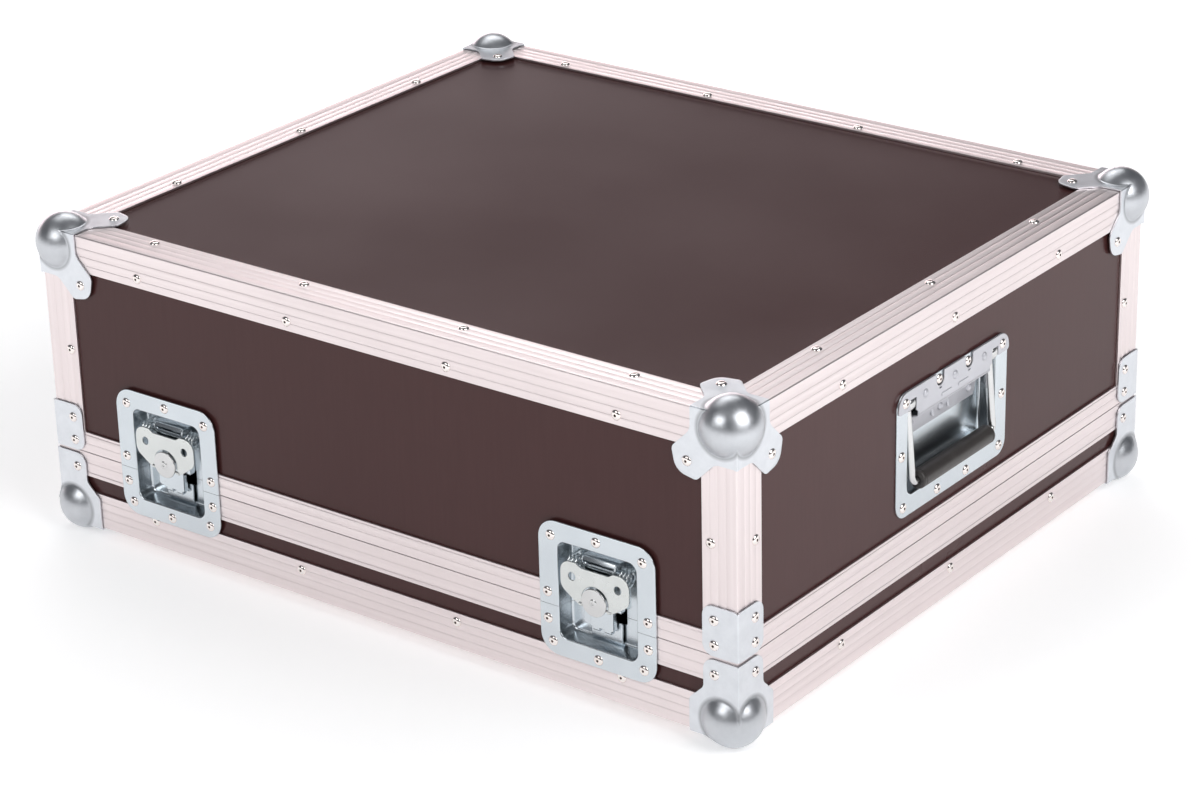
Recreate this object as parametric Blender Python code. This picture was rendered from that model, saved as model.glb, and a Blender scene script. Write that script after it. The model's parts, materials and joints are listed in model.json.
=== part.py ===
"""Flight case for a mixing desk: a shallow base tray under a deep lift-off hood.

Phenolic plywood panels sit in aluminium edging, pressed steel ball corners cap the eight
corners, four recessed butterfly latches pull the hood down onto the base, and a sprung
drop handle sits in a recess on each end.

The frame: X runs along the case front, Y from front to back, Z up. The origin is the
centre of the footprint on the floor, where the four lower ball corners stand.
"""

import math

import bmesh
import bpy
import numpy as np
from mathutils import Matrix, Vector

MM = 0.001

# Whole case, measured over the aluminium edging
case_width = 665 * MM
case_depth = 568 * MM
case_height = 252 * MM
base_height = 64.5 * MM

# Clearance between pieces that touch, and the gap along the parting line
fit = 0.3 * MM
parting_gap = 0.3 * MM

# Plywood and foam
panel_thickness = 7 * MM
base_pad_thickness = 15 * MM
hood_pad_thickness = 20 * MM
pad_edge_gap = 6 * MM
pad_corner = 12 * MM

# Aluminium edging, an angle with three grooves down each leg
edging_leg = 30 * MM
edging_wall = 1.8 * MM
edging_corner = 2 * MM
groove_first = 9.4 * MM
groove_pitch = 7 * MM
groove_width = 1 * MM
groove_depth = 0.5 * MM
groove_count = 3
base_angle_leg = 26 * MM
edging_joint = 1 * MM

# Closing rails: the hood rail has a tongue that drops into the base rail's channel
hood_rail_face = 17.6 * MM
base_rail_face = 21.3 * MM
rail_lip = 10 * MM
rail_lip_wall = 1.5 * MM
tongue_inset = 4.4 * MM
tongue_width = 2.2 * MM
tongue_drop = 2.2 * MM
tongue_play = 0.4 * MM

# Pressed steel corner hardware
sheet = 1.2 * MM
ball_radius = 23 * MM
ball_inset = 13 * MM
foot_flat = 0.5 * MM
ball_plate_reach = 38 * MM
ball_lobe_side = 54 * MM
ball_lobe_neck = 17 * MM
ball_lobe_tip = 50.5 * MM
ball_rivet = 41 * MM
base_plate_reach = 41.5 * MM
base_plate_height = 26 * MM
base_leg_width = 29 * MM
base_leg_waist = 38 * MM
base_leg_below_parting = 2.5 * MM
base_leg_rivet_drop = 14.5 * MM
brace_width = 29.5 * MM
brace_height = 40 * MM
brace_corner = 9 * MM
brace_rivet_inset = 19.5 * MM
brace_rivet_low = 9 * MM
brace_rivet_pitch = 19.6 * MM

# Blind rivet heads
rivet_radius = 3.8 * MM
rivet_height = 1.4 * MM
rivet_sides = 5
rivet_set = 0.2 * MM

# Latch dish, split along the parting line; heights are above or below that line
latch_inset = 122 * MM
dish_width = 104.4 * MM
dish_above = 68.5 * MM
dish_below = 40 * MM
dish_corner = 16 * MM
dish_opening_width = 73 * MM
dish_opening_above = 54.2 * MM
dish_opening_below = 26 * MM
dish_opening_corner = 8 * MM
dish_depth = 12.5 * MM
dish_draft = 1.5 * MM
dish_lip_round = 1.2 * MM
dish_window_width = 33 * MM
dish_window_above = 7 * MM
dish_window_below = 6 * MM
dish_rivet_corner_x = 41 * MM
dish_rivet_side_x = 45 * MM
dish_rivet_high = 56.3 * MM
dish_rivet_top = 61 * MM
dish_rivet_side_above = 9.8 * MM
dish_rivet_side_below = 11.8 * MM
dish_rivet_low = 29.5 * MM
dish_rivet_bottom = 33.5 * MM

# Latch rotor: a disc on a hub, with a cross pin that carries the wing
rotor_height = 14.5 * MM
disc_radius = 11 * MM
disc_thickness = 1.8 * MM
disc_proud = 6.3 * MM
hub_radius = 8.5 * MM
shaft_radius = 3 * MM
shaft_tail = 1.2 * MM
wing_pin_radius = 1 * MM
wing_pin_length = 30 * MM
wing_pin_drop = 4.5 * MM

# Butterfly wing, folded up flat at rest
wing_proud = 4.2 * MM
wing_thickness = 1.4 * MM
wing_side = 30.7 * MM
wing_top = 26.8 * MM
wing_dip = 2.8 * MM
wing_shoulder_x = 12.5 * MM
wing_lobe_round = 9 * MM
wing_heel = 5 * MM
wing_waist_x = 20 * MM
wing_waist_drop = 2.5 * MM
wing_hole_x = 20.5 * MM
wing_hole_rise = 15.2 * MM
wing_hole_radius = 3.3 * MM
wing_foot_x = 14 * MM
wing_foot_drop = 6 * MM
wing_cutout_radius = 12 * MM
eyelet_radius = 2.3 * MM
eyelet_length = 2.8 * MM

# Draw hook behind the rotor, its slanted travel, and the keeper it pulls on
hook_width = 20.6 * MM
hook_depth = 3.4 * MM
hook_thickness = 1.4 * MM
hook_top = 30 * MM
hook_bottom = 10.2 * MM
hook_cheek_top = 4 * MM
hook_cheek_depth = 8.2 * MM
finger_drop = 3 * MM
finger_near = 2.4 * MM
finger_far = 8.2 * MM
hook_tip_play = 0.8 * MM
hook_tip_rise = 3.5 * MM
hook_travel = 8.5 * MM
hook_slant = 0.45
keeper_width = 28 * MM
keeper_plate_depth = 9.5 * MM
keeper_play = 0.5 * MM
keeper_bite = 1 * MM
keeper_ledge_top = 7.4 * MM
keeper_foot_bottom = 22 * MM

# Latch housing: a folded box on the dish floor, with ears for the spring pin
housing_width = 31 * MM
housing_sheet = 1.4 * MM
housing_face_depth = 6.2 * MM
housing_bottom = 5 * MM
housing_face_top = 32 * MM
housing_top = 46 * MM
ear_bottom = 31 * MM
ear_front_depth = 1 * MM

# Spring pin and its two torsion springs
pin_radius = 2 * MM
pin_head = 2.7 * MM
pin_length = 58 * MM
pin_height = 38 * MM
pin_depth = 4.5 * MM
latch_coil_radius = 6 * MM
latch_coil_depth = 5.2 * MM
latch_wire_radius = 0.9 * MM
latch_coil_start = 19.5 * MM
latch_coil_turns = 2.25
latch_coil_pitch = 3.2 * MM
latch_bar_drop = 4.2 * MM

# Drop handle dish, heights measured from its centre
handle_height = 142 * MM
handle_width = 156 * MM
handle_tall = 102 * MM
handle_corner = 12 * MM
handle_opening_width = 128 * MM
handle_opening_top = 46 * MM
handle_opening_bottom = 36 * MM
handle_opening_corner = 8 * MM
handle_depth = 13 * MM
handle_rivet_x = 68.5 * MM
handle_rivet_z = 42.5 * MM
handle_rivet_side_x = 71 * MM
handle_rivet_mid_x = 20.4 * MM
handle_rivet_mid_z = 45 * MM

# Hinge plate over the top of the handle dish
hinge_plate_bend = 27 * MM
hinge_plate_side = 35 * MM
hinge_plate_foot = 3 * MM
hinge_tongue_gap = 3.3 * MM
hinge_notch_top = 43.5 * MM
hinge_notch_gap = 1.8 * MM
hinge_lug_inset = 21.5 * MM
hinge_lug_width = 6 * MM

# Bail and rubber grip; the bail's ends are its own hinge pin
bail_radius = 3.2 * MM
bail_side_gap = 6.5 * MM
bail_bend = 6 * MM
bail_axis_height = 38 * MM
bail_axis_depth = 3.6 * MM
bail_end_inset = 25.5 * MM
grip_drop = 26 * MM
grip_proud = 2 * MM
grip_radius = 7.5 * MM
grip_end_gap = 0.5 * MM
grip_round = 1.8 * MM
handle_coil_radius = 4.2 * MM
handle_wire_radius = 0.6 * MM
handle_coil_inset = 15.5 * MM
handle_coil_turns = 2.25
handle_coil_pitch = 2.2 * MM
handle_bar_drop = 7 * MM
coil_points = 8

# Levels and insets worked out from the sizes above
half_width = case_width / 2
half_depth = case_depth / 2
z_under = ball_radius - ball_inset - foot_flat
z_parting = z_under + base_height
z_top = z_under + case_height
panel_inset = edging_wall + fit
panel_inner = panel_inset + panel_thickness
flange_front = fit + sheet
rail_inner = panel_inner + fit + rail_lip_wall
rail_flange = tongue_drop + tongue_play + edging_wall
latch_offset = half_width - latch_inset
dish_half_cut = dish_opening_width / 2 + sheet + fit
hook_out = hook_slant / math.hypot(1, hook_slant) * hook_travel
hook_down = 1 / math.hypot(1, hook_slant) * hook_travel
hub_back = hook_depth - hook_out - fit
keeper_lip_depth = hook_depth + hook_thickness + keeper_play
hook_foot = hook_bottom + finger_drop
keeper_lip_bottom = hook_foot - hook_thickness - keeper_bite
hook_tip_depth = keeper_lip_depth + sheet + hook_tip_play
bail_half_width = handle_opening_width / 2 - bail_side_gap
bail_end_x = bail_half_width - bail_end_inset
hinge_tongue_width = 2 * (bail_half_width - bail_radius - hinge_tongue_gap)
hinge_notch_far = bail_half_width + bail_radius + hinge_notch_gap
hinge_lug_x = bail_half_width - hinge_lug_inset
grip_length = 2 * (bail_half_width - bail_bend - grip_end_gap)
handle_coil_start = bail_half_width - handle_coil_inset
coil_chord = latch_coil_radius * math.cos(math.pi / coil_points)
latch_coil_height = pin_height - (coil_chord - latch_wire_radius - pin_radius - fit)

SIDES = ("front", "right", "back", "left")
LATCHES = {"fl": ("front", -1), "fr": ("front", 1), "br": ("back", -1), "bl": ("back", 1)}
HANDLES = ("right", "left")


def clear_scene():
    for item in list(bpy.data.objects):
        bpy.data.objects.remove(item, do_unlink=True)


def material(name, colour, metallic, roughness):
    finish = bpy.data.materials.new(name)
    finish.use_nodes = True
    shader = finish.node_tree.nodes["Principled BSDF"]
    shader.inputs["Base Color"].default_value = (*colour, 1)
    shader.inputs["Metallic"].default_value = metallic
    shader.inputs["Roughness"].default_value = roughness
    finish.diffuse_color = (*colour, 1)
    return finish


# Outlines, drawn in a plane as (across, up) points


def rounded(corners, steps=3):
    """Closed outline through (across, up, radius) corners, each turned into an arc."""
    points = []
    for i, (across, up, radius) in enumerate(corners):
        here = Vector((across, up))
        back = (Vector(corners[i - 1][:2]) - here).normalized()
        ahead = (Vector(corners[(i + 1) % len(corners)][:2]) - here).normalized()
        if radius <= 0:
            points.append(here)
            continue
        half = math.acos(max(-1, min(1, back.dot(ahead)))) / 2
        centre = here + (back + ahead).normalized() * (radius / math.sin(half))
        start = here + back * (radius / math.tan(half)) - centre
        end = here + ahead * (radius / math.tan(half)) - centre
        first = math.atan2(start.y, start.x)
        sweep = (math.atan2(end.y, end.x) - first + math.pi) % math.tau - math.pi
        for k in range(steps + 1):
            angle = first + sweep * k / steps
            points.append(centre + Vector((math.cos(angle), math.sin(angle))) * radius)
    return points


def rounded_box(left, right, low, high, radius, steps=3):
    return rounded([(left, low, radius), (right, low, radius),
                    (right, high, radius), (left, high, radius)], steps)


def circle(radius, sides, across=0, up=0, phase=0.5):
    turn = math.tau / sides
    return [Vector((across + radius * math.cos((k + phase) * turn),
                    up + radius * math.sin((k + phase) * turn))) for k in range(sides)]


def grooves():
    return [groove_first + groove_pitch * k for k in range(groove_count)]


def angle_section(leg, grooved):
    """Edging angle as (inward from one face, inward from the other) points."""
    half = groove_width / 2
    nose = edging_corner * (1 - math.sqrt(0.5))
    places = grooves() if grooved else []
    side = [(0, leg)]
    for place in reversed(places):
        side += [(0, place + half), (groove_depth, place), (0, place - half)]
    side += [(0, edging_corner), (nose, nose), (edging_corner, 0)]
    for place in places:
        side += [(place - half, 0), (place, groove_depth), (place + half, 0)]
    return side + [(leg, 0), (leg, edging_wall), (edging_wall, edging_wall), (edging_wall, leg)]


def rail_groove(level):
    half = groove_width / 2
    return [(0, level - half), (groove_depth, level), (0, level + half)]


def hood_rail_section():
    low = z_parting + parting_gap / 2
    flange = low + edging_wall
    tongue = tongue_inset + tongue_width
    return [(0, low), *rail_groove(low + hood_rail_face / 2), (0, low + hood_rail_face),
            (edging_wall, low + hood_rail_face), (edging_wall, flange),
            (panel_inner + fit, flange), (panel_inner + fit, low + rail_lip),
            (rail_inner, low + rail_lip), (rail_inner, low), (tongue, low),
            (tongue, low - tongue_drop), (tongue_inset, low - tongue_drop),
            (tongue_inset, low)]


def base_rail_section():
    high = z_parting - parting_gap / 2
    channel = high - tongue_drop - tongue_play
    flange = high - rail_flange
    near = tongue_inset - tongue_play
    far = tongue_inset + tongue_width + tongue_play
    return [(0, high - base_rail_face), *rail_groove(high - base_rail_face / 2), (0, high),
            (near, high), (near, channel), (far, channel), (far, high), (rail_inner, high),
            (rail_inner, high - rail_lip), (panel_inner + fit, high - rail_lip),
            (panel_inner + fit, flange), (edging_wall, flange),
            (edging_wall, high - base_rail_face)]


# Solids, built into a bmesh in a side's frame: X across, Y inward, Z up


def add_loft(bm, rings, matrix=Matrix(), capped=True):
    """Bands between rings of equal point count, closed by a cap at each end or into a ring."""
    loops = [[bm.verts.new(matrix @ Vector(point)) for point in ring] for ring in rings]
    pairs = list(zip(loops, loops[1:]))
    if not capped:
        pairs.append((loops[-1], loops[0]))
    for lower, upper in pairs:
        for i in range(len(lower)):
            j = (i + 1) % len(lower)
            bm.faces.new((lower[i], lower[j], upper[j], upper[i]))
    if capped:
        bm.faces.new(list(reversed(loops[0])))
        bm.faces.new(loops[-1])


def add_prism(bm, outline, near, far, matrix=Matrix(), axis=1):
    """An outline pushed from near to far along one axis; the other two carry it."""
    def lift(point, level):
        place = [0, 0, 0]
        place[axis] = level
        place[0 if axis else 1] = point[0]
        place[1 if axis == 2 else 2] = point[1]
        return place
    add_loft(bm, [[lift(p, near) for p in outline], [lift(p, far) for p in outline]], matrix)


def add_box(bm, low, high, matrix=Matrix()):
    outline = [(low[0], low[2]), (high[0], low[2]), (high[0], high[2]), (low[0], high[2])]
    add_prism(bm, outline, low[1], high[1], matrix)


def add_turned(bm, profile, sides, matrix=Matrix(), capped=True):
    """A (radius, along) profile turned about the side frame's Y axis."""
    rings = [[(x, along, z) for x, z in circle(radius, sides)] for radius, along in profile]
    add_loft(bm, rings, matrix, capped)


def add_tube(bm, path, radius, sides, matrix=Matrix()):
    """A round rod along a path of points, its section carried without twist."""
    path = [Vector(point) for point in path]
    heading = (path[1] - path[0]).normalized()
    across = heading.orthogonal().normalized()
    rings = []
    for i, point in enumerate(path):
        before = (point - path[max(i - 1, 0)]).normalized()
        after = (path[min(i + 1, len(path) - 1)] - point).normalized()
        along = (before + after).normalized()
        across = (across - along * across.dot(along)).normalized()
        other = along.cross(across)
        stretch = 1 / max(0.5, along.dot(after if i == 0 else before))
        bend = (after - before) if 0 < i < len(path) - 1 else Vector()
        outward = bend.normalized() if bend.length > 1e-9 else Vector()
        ring = []
        for x, y in circle(radius, sides):
            offset = across * x + other * y
            offset += outward * offset.dot(outward) * (stretch - 1)
            ring.append(point + offset)
        rings.append(ring)
    add_loft(bm, rings, matrix)


def bent_path(points, radius, steps):
    """A path through points in space whose inner corners become arcs."""
    path = [Vector(points[0])]
    for before, here, after in zip(points, points[1:], points[2:]):
        here = Vector(here)
        back = (Vector(before) - here).normalized()
        ahead = (Vector(after) - here).normalized()
        half = back.angle(ahead) / 2
        centre = here + (back + ahead).normalized() * (radius / math.sin(half))
        start = here + back * (radius / math.tan(half)) - centre
        sweep = math.pi - 2 * half
        axis = back.cross(ahead)
        for k in range(steps + 1):
            path.append(centre + Matrix.Rotation(-sweep * k / steps, 3, axis) @ start)
    path.append(Vector(points[-1]))
    return path


def spring_path(start_x, coil, wire, turns, pitch, axis, floor_depth, bar_drop):
    """A double torsion spring about X: leg from the floor, coil, cross bar, coil and leg."""
    count = round(turns * coil_points)
    depth, height = axis
    far, foot = start_x + pitch * turns, floor_depth - fit
    half = [(far, foot, height + coil), (far, foot - 2 * wire, height + coil)]
    for k in range(count + 1):
        angle = math.tau * turns * k / count
        half.append((far - pitch * turns * k / count, depth - coil * math.sin(angle),
                     height + coil * math.cos(angle)))
    bend = 2 * wire
    front = depth - coil
    for angle in (0, 45, 90):
        reach = math.radians(angle)
        half.append((start_x - bend * (1 - math.cos(reach)), front,
                     height - bar_drop + bend * (1 - math.sin(reach))))
    return half + [(-x, y, z) for x, y, z in reversed(half)]


def least_self_gap(path, wire, apart=5):
    """Smallest clear distance between stretches of one wire that aren't neighbours."""
    dense = []
    for a, b in zip(path, path[1:]):
        dense += [np.array(a) + (np.array(b) - np.array(a)) * t for t in (0, 0.25, 0.5, 0.75)]
    dense = np.array(dense)
    span = np.linalg.norm(dense[:, None] - dense[None, :], axis=2)
    order = np.arange(len(dense))
    span[np.abs(order[:, None] - order[None, :]) < apart * 4] = 1
    return float(span.min() - 2 * wire)


# Objects


def make(name, bm, finish=None, matrix=Matrix()):
    """An object from a bmesh, with its faces turned outward and shaded by angle."""
    bmesh.ops.recalc_face_normals(bm, faces=bm.faces)
    mesh = bpy.data.meshes.new(name)
    bm.to_mesh(mesh)
    bm.free()
    return hang(name, mesh, finish, matrix)


def hang(name, mesh, finish=None, matrix=Matrix()):
    item = bpy.data.objects.new(name, mesh)
    bpy.context.scene.collection.objects.link(item)
    item.matrix_world = matrix
    if finish:
        mesh.materials.clear()
        mesh.materials.append(finish)
        mesh.shade_smooth()
        mesh.set_sharp_from_angle(angle=math.radians(35))
    return item


def cutter(name, bm, matrix=Matrix()):
    tool = make(name, bm, None, matrix)
    tool.hide_render = True
    tool.display_type = "WIRE"
    return tool


def combined(bm, tools):
    """The mesh of a bmesh after Boolean steps, each an (operation, bmesh) pair."""
    work = make("work", bm)
    helpers = []
    for operation, tool in tools:
        helper = make("tool", tool)
        helpers.append(helper)
        step = work.modifiers.new(operation, "BOOLEAN")
        step.operation = operation
        step.solver = "EXACT"
        step.object = helper
    bpy.context.view_layer.update()
    mesh = bpy.data.meshes.new_from_object(work.evaluated_get(bpy.context.evaluated_depsgraph_get()))
    for item in [work, *helpers]:
        bpy.data.objects.remove(item, do_unlink=True)
    return mesh


def cleaned(mesh):
    """Drops the needle faces and doubled points that a Boolean can leave."""
    bm = bmesh.new()
    bm.from_mesh(mesh)
    bmesh.ops.remove_doubles(bm, verts=bm.verts, dist=0.00001)
    bmesh.ops.dissolve_degenerate(bm, edges=bm.edges, dist=0.00001)
    bmesh.ops.recalc_face_normals(bm, faces=bm.faces)
    bm.to_mesh(mesh)
    bm.free()
    return mesh


def side_matrix(side, across=0, height=0):
    """Frame of a case side, a quarter turn from the last: X right from outside, Y inward, Z up."""
    reach = half_depth if side in ("front", "back") else half_width
    turn = Matrix.Rotation(SIDES.index(side) * math.pi / 2, 4, "Z")
    return turn @ Matrix.Translation((across, -reach, height))


def side_run(side):
    return case_width if side in ("front", "back") else case_depth


def latch_matrix(tag):
    side, hand = LATCHES[tag]
    return side_matrix(side, hand * (case_width / 2 - latch_inset), z_parting)


def corner_matrix(right, back, bottom=False):
    """Maps inward distances from a corner's three faces to the case's frame."""
    level = z_under if bottom else z_top
    place = Matrix.Translation((right * half_width, back * half_depth, level))
    return place @ Matrix.Diagonal((-right, -back, 1 if bottom else -1, 1))


CORNERS = [(right, back) for right in (-1, 1) for back in (-1, 1)]
CORNER_TAGS = ("fl", "bl", "fr", "br")

# A corner's faces, each with Y inward from it and X, Z the distances along it
FACES = {"front": Matrix(),
         "side": Matrix(((0, 1, 0, 0), (1, 0, 0, 0), (0, 0, 1, 0), (0, 0, 0, 1))),
         "level": Matrix(((1, 0, 0, 0), (0, 0, 1, 0), (0, 1, 0, 0), (0, 0, 0, 1)))}


def add_rivet(bm, across, up, seat, matrix):
    """A domed rivet head, set a little into the sheet that it holds."""
    profile = [(rivet_radius, -seat + rivet_set), (rivet_radius * 0.6, -seat - rivet_height)]
    rings = [[(across + x, along, up + z) for x, z in circle(radius, rivet_sides)]
             for radius, along in profile]
    add_loft(bm, rings, matrix)


def placed(mesh, matrix):
    """A mirrored or turned copy of a mesh, its faces still pointing out."""
    bm = bmesh.new()
    bm.from_mesh(mesh)
    bmesh.ops.transform(bm, matrix=matrix, verts=bm.verts)
    bmesh.ops.recalc_face_normals(bm, faces=bm.faces)
    copy = bpy.data.meshes.new(mesh.name)
    bm.to_mesh(copy)
    bm.free()
    return copy


# Panels


def dish_notch(side):
    """Where the latch dishes pass a side, as (from, to) along it."""
    if side not in ("front", "back"):
        return []
    return [(place - dish_half_cut, place + dish_half_cut) for place in (-latch_offset, latch_offset)]


def wall_outline(side, low, high, notch_high):
    """A hood side panel's outline with its latch notches open to the parting line."""
    end = side_run(side) / 2 - (panel_inset if side in ("front", "back") else panel_inner + fit)
    bottom = []
    for start, stop in dish_notch(side):
        bottom += [(start, low), (start, notch_high), (stop, notch_high), (stop, low)]
    return [(-end, low), *bottom, (end, low), (end, high), (-end, high)]


def build_panels(wood, foam):
    floor_low = z_under + panel_inset
    floor_high = floor_low + panel_thickness
    lid_high = z_top - panel_inset
    lid_low = lid_high - panel_thickness
    across, along = half_width - panel_inset, half_depth - panel_inset
    inner_x, inner_y = half_width - panel_inner, half_depth - panel_inner
    base_high = z_parting - parting_gap / 2 - rail_flange - fit
    base_notch = z_parting - dish_opening_below - sheet - fit
    bm = bmesh.new()
    add_box(bm, (-across, -along, floor_low), (across, along, base_high))
    inside = bmesh.new()
    add_box(inside, (-inner_x, -inner_y, floor_high), (inner_x, inner_y, z_parting))
    tools = [("DIFFERENCE", inside)]
    for start, stop in dish_notch("front"):
        notch = bmesh.new()
        add_box(notch, (start, -half_depth, base_notch), (stop, half_depth, z_parting))
        tools.append(("DIFFERENCE", notch))
    hang("base_tray", cleaned(combined(bm, tools)), wood)
    bm = bmesh.new()
    add_box(bm, (-across, -along, lid_low), (across, along, lid_high))
    make("hood_top_panel", bm, wood)
    hood_low = z_parting + parting_gap / 2 + edging_wall + fit
    hood_notch = z_parting + dish_opening_above + sheet + fit
    for side in SIDES:
        bm = bmesh.new()
        add_prism(bm, wall_outline(side, hood_low, lid_low - fit, hood_notch),
                  panel_inset, panel_inner)
        panel = make(f"hood_{side}_panel", bm, wood, side_matrix(side))
        if side in HANDLES:
            hole = bmesh.new()
            edge = sheet + fit
            outline = rounded_box(-handle_opening_width / 2 - edge, handle_opening_width / 2 + edge,
                                  -handle_opening_bottom - edge, handle_opening_top + edge,
                                  handle_opening_corner)
            add_prism(hole, outline, -panel_inset, panel_inner)
            tool = cutter(f"{side}_handle_cutter", hole, handle_matrix(side))
            step = panel.modifiers.new("Handle opening", "BOOLEAN")
            step.operation = "DIFFERENCE"
            step.solver = "EXACT"
            step.object = tool
    reach_x = inner_x - pad_edge_gap
    reach_y = inner_y - pad_edge_gap
    outline = rounded_box(-reach_x, reach_x, -reach_y, reach_y, pad_corner, 2)
    low = floor_high + fit
    for name, start, end in (("base_foam_pad", low, low + base_pad_thickness),
                             ("hood_foam_pad", lid_low - fit - hood_pad_thickness, lid_low - fit)):
        bm = bmesh.new()
        add_prism(bm, outline, start, end, axis=2)
        make(name, bm, foam)


# Aluminium


def corner_ring(section, right, back):
    """A section's mitred ring of points at one corner of the case."""
    return [(right * (half_width - y), back * (half_depth - y), z) for y, z in section]


def end_ring(section, across, back):
    return [(across, back * (half_depth - y), z) for y, z in section]


def frame_ring(section):
    bm = bmesh.new()
    corners = [(-1, -1), (1, -1), (1, 1), (-1, 1)]
    add_loft(bm, [corner_ring(section, *corner) for corner in corners], capped=False)
    return bm


def rail_end(section, right):
    """A closing rail round one end of the case, from front latch to back latch."""
    start = right * (latch_offset + dish_half_cut)
    bm = bmesh.new()
    add_loft(bm, [end_ring(section, start, -1), corner_ring(section, right, -1),
                  corner_ring(section, right, 1), end_ring(section, start, 1)])
    return bm


def rail_middle(section, back):
    stop = latch_offset - dish_half_cut
    bm = bmesh.new()
    add_loft(bm, [end_ring(section, -stop, back), end_ring(section, stop, back)])
    return bm


def upright(section, low, high, right, back):
    """An upright angle at one corner, between two heights."""
    bm = bmesh.new()
    place = Matrix.Translation((right * half_width, back * half_depth, 0))
    add_prism(bm, section, low, high, place @ Matrix.Diagonal((-right, -back, 1, 1)), axis=2)
    return bm


def build_frames(aluminium):
    """Edging and closing rails of each half, joined at the corners where they are riveted."""
    low, high = z_parting - parting_gap / 2, z_parting + parting_gap / 2
    rails = {"base": base_rail_section(), "hood": hood_rail_section()}
    levels = {"base": (z_under, 1), "hood": (z_top, -1)}
    joint = edging_joint
    spans = {"base": (z_under + edging_leg - joint, low - base_rail_face + joint),
             "hood": (high + hood_rail_face - joint, z_top - edging_leg + joint)}
    legs = {"base": angle_section(base_angle_leg, False), "hood": angle_section(edging_leg, True)}
    for half, section in rails.items():
        level, up = levels[half]
        ring = frame_ring([(y, level + up * z) for y, z in angle_section(edging_leg, True)])
        tools = [("UNION", rail_end(section, right)) for right in (-1, 1)]
        for corner in CORNERS:
            tools.append(("UNION", upright(legs[half], *spans[half], *corner)))
        if half == "hood":
            tools += brace_tools()
        hang(f"{half}_edging_frame", cleaned(combined(ring, tools)), aluminium)
        for name, back in (("front", -1), ("back", 1)):
            make(f"{half}_{name}_rail", rail_middle(section, back), aluminium)


# Corner hardware


def lobed_plate(reach):
    """A ball corner's plate on one face, by distances along its two folds."""
    over = -flange_front
    return rounded([(over, over, 0), (reach, over, 0), (reach, ball_lobe_neck, 10 * MM),
                    (ball_lobe_side, ball_lobe_side - (reach - ball_lobe_neck), 4 * MM),
                    (ball_lobe_tip, ball_lobe_tip, 12 * MM),
                    (ball_lobe_side - (reach - ball_lobe_neck), ball_lobe_side, 4 * MM),
                    (ball_lobe_neck, reach, 10 * MM), (over, reach, 0)], 2)


def tall_plate():
    """The lower ball corner's plate on an upright face: a foot with a tall leg."""
    over = -flange_front
    top = base_height - base_leg_below_parting
    return rounded([(over, over, 0), (base_plate_reach, over, 0),
                    (base_plate_reach, base_plate_height, 6 * MM),
                    (base_leg_width, base_leg_waist, 6 * MM),
                    (base_leg_width, top, brace_corner), (over, top, 0)], 2)


def ball_corner(plates, heads, bottom):
    """One corner cap by inward distances: ball and plates, hollowed by the case corner."""
    ball = bmesh.new()
    bmesh.ops.create_uvsphere(ball, u_segments=16, v_segments=8, radius=ball_radius,
                              matrix=Matrix.Translation((ball_inset,) * 3))
    if bottom:
        geometry = ball.verts[:] + ball.edges[:] + ball.faces[:]
        bmesh.ops.bisect_plane(ball, geom=geometry, plane_co=(0, 0, -z_under),
                               plane_no=(0, 0, -1), clear_outer=True)
        bmesh.ops.holes_fill(ball, edges=[e for e in ball.edges if e.is_boundary])
    tools = []
    for axis, outline in enumerate(plates):
        plate = bmesh.new()
        add_prism(plate, outline, -flange_front, sheet, axis=axis)
        tools.append(("UNION", plate))
    case_corner = bmesh.new()
    far = 4 * ball_radius
    add_box(case_corner, (-fit,) * 3, (far,) * 3)
    diagonal = Vector((1, 1, 1)).normalized()
    clip = Vector((ball_inset,) * 3) - diagonal * (ball_radius - sheet)
    geometry = case_corner.verts[:] + case_corner.edges[:] + case_corner.faces[:]
    bmesh.ops.bisect_plane(case_corner, geom=geometry, plane_co=clip, plane_no=-diagonal,
                           clear_outer=True)
    bmesh.ops.holes_fill(case_corner, edges=[e for e in case_corner.edges if e.is_boundary])
    tools.append(("DIFFERENCE", case_corner))
    tools.append(("UNION", heads))
    return cleaned(combined(ball, tools))


def brace_tools():
    """Corner braces, riveted over the hood's rail corners, by inward distances."""
    low, high = z_parting + parting_gap, z_parting + brace_height
    leg = rounded([(-flange_front, low, 0), (brace_width, low, brace_corner),
                   (brace_width, high, brace_corner), (-flange_front, high, 0)])
    plate, other, heads = bmesh.new(), bmesh.new(), bmesh.new()
    add_prism(plate, leg, -flange_front, rivet_set, axis=1)
    add_prism(other, leg, -flange_front, rivet_set, axis=0)
    for face in ("front", "side"):
        for k in range(2):
            up = z_parting + brace_rivet_low + k * brace_rivet_pitch
            add_rivet(heads, brace_rivet_inset, up, flange_front, FACES[face])
    brace = cleaned(combined(plate, [("UNION", other), ("UNION", heads)]))
    tools = []
    for right, back in CORNERS:
        place = Matrix.Translation((right * half_width, back * half_depth, 0))
        copy = bmesh.new()
        copy.from_mesh(placed(brace, place @ Matrix.Diagonal((-right, -back, 1, 1))))
        tools.append(("UNION", copy))
    return tools


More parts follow.
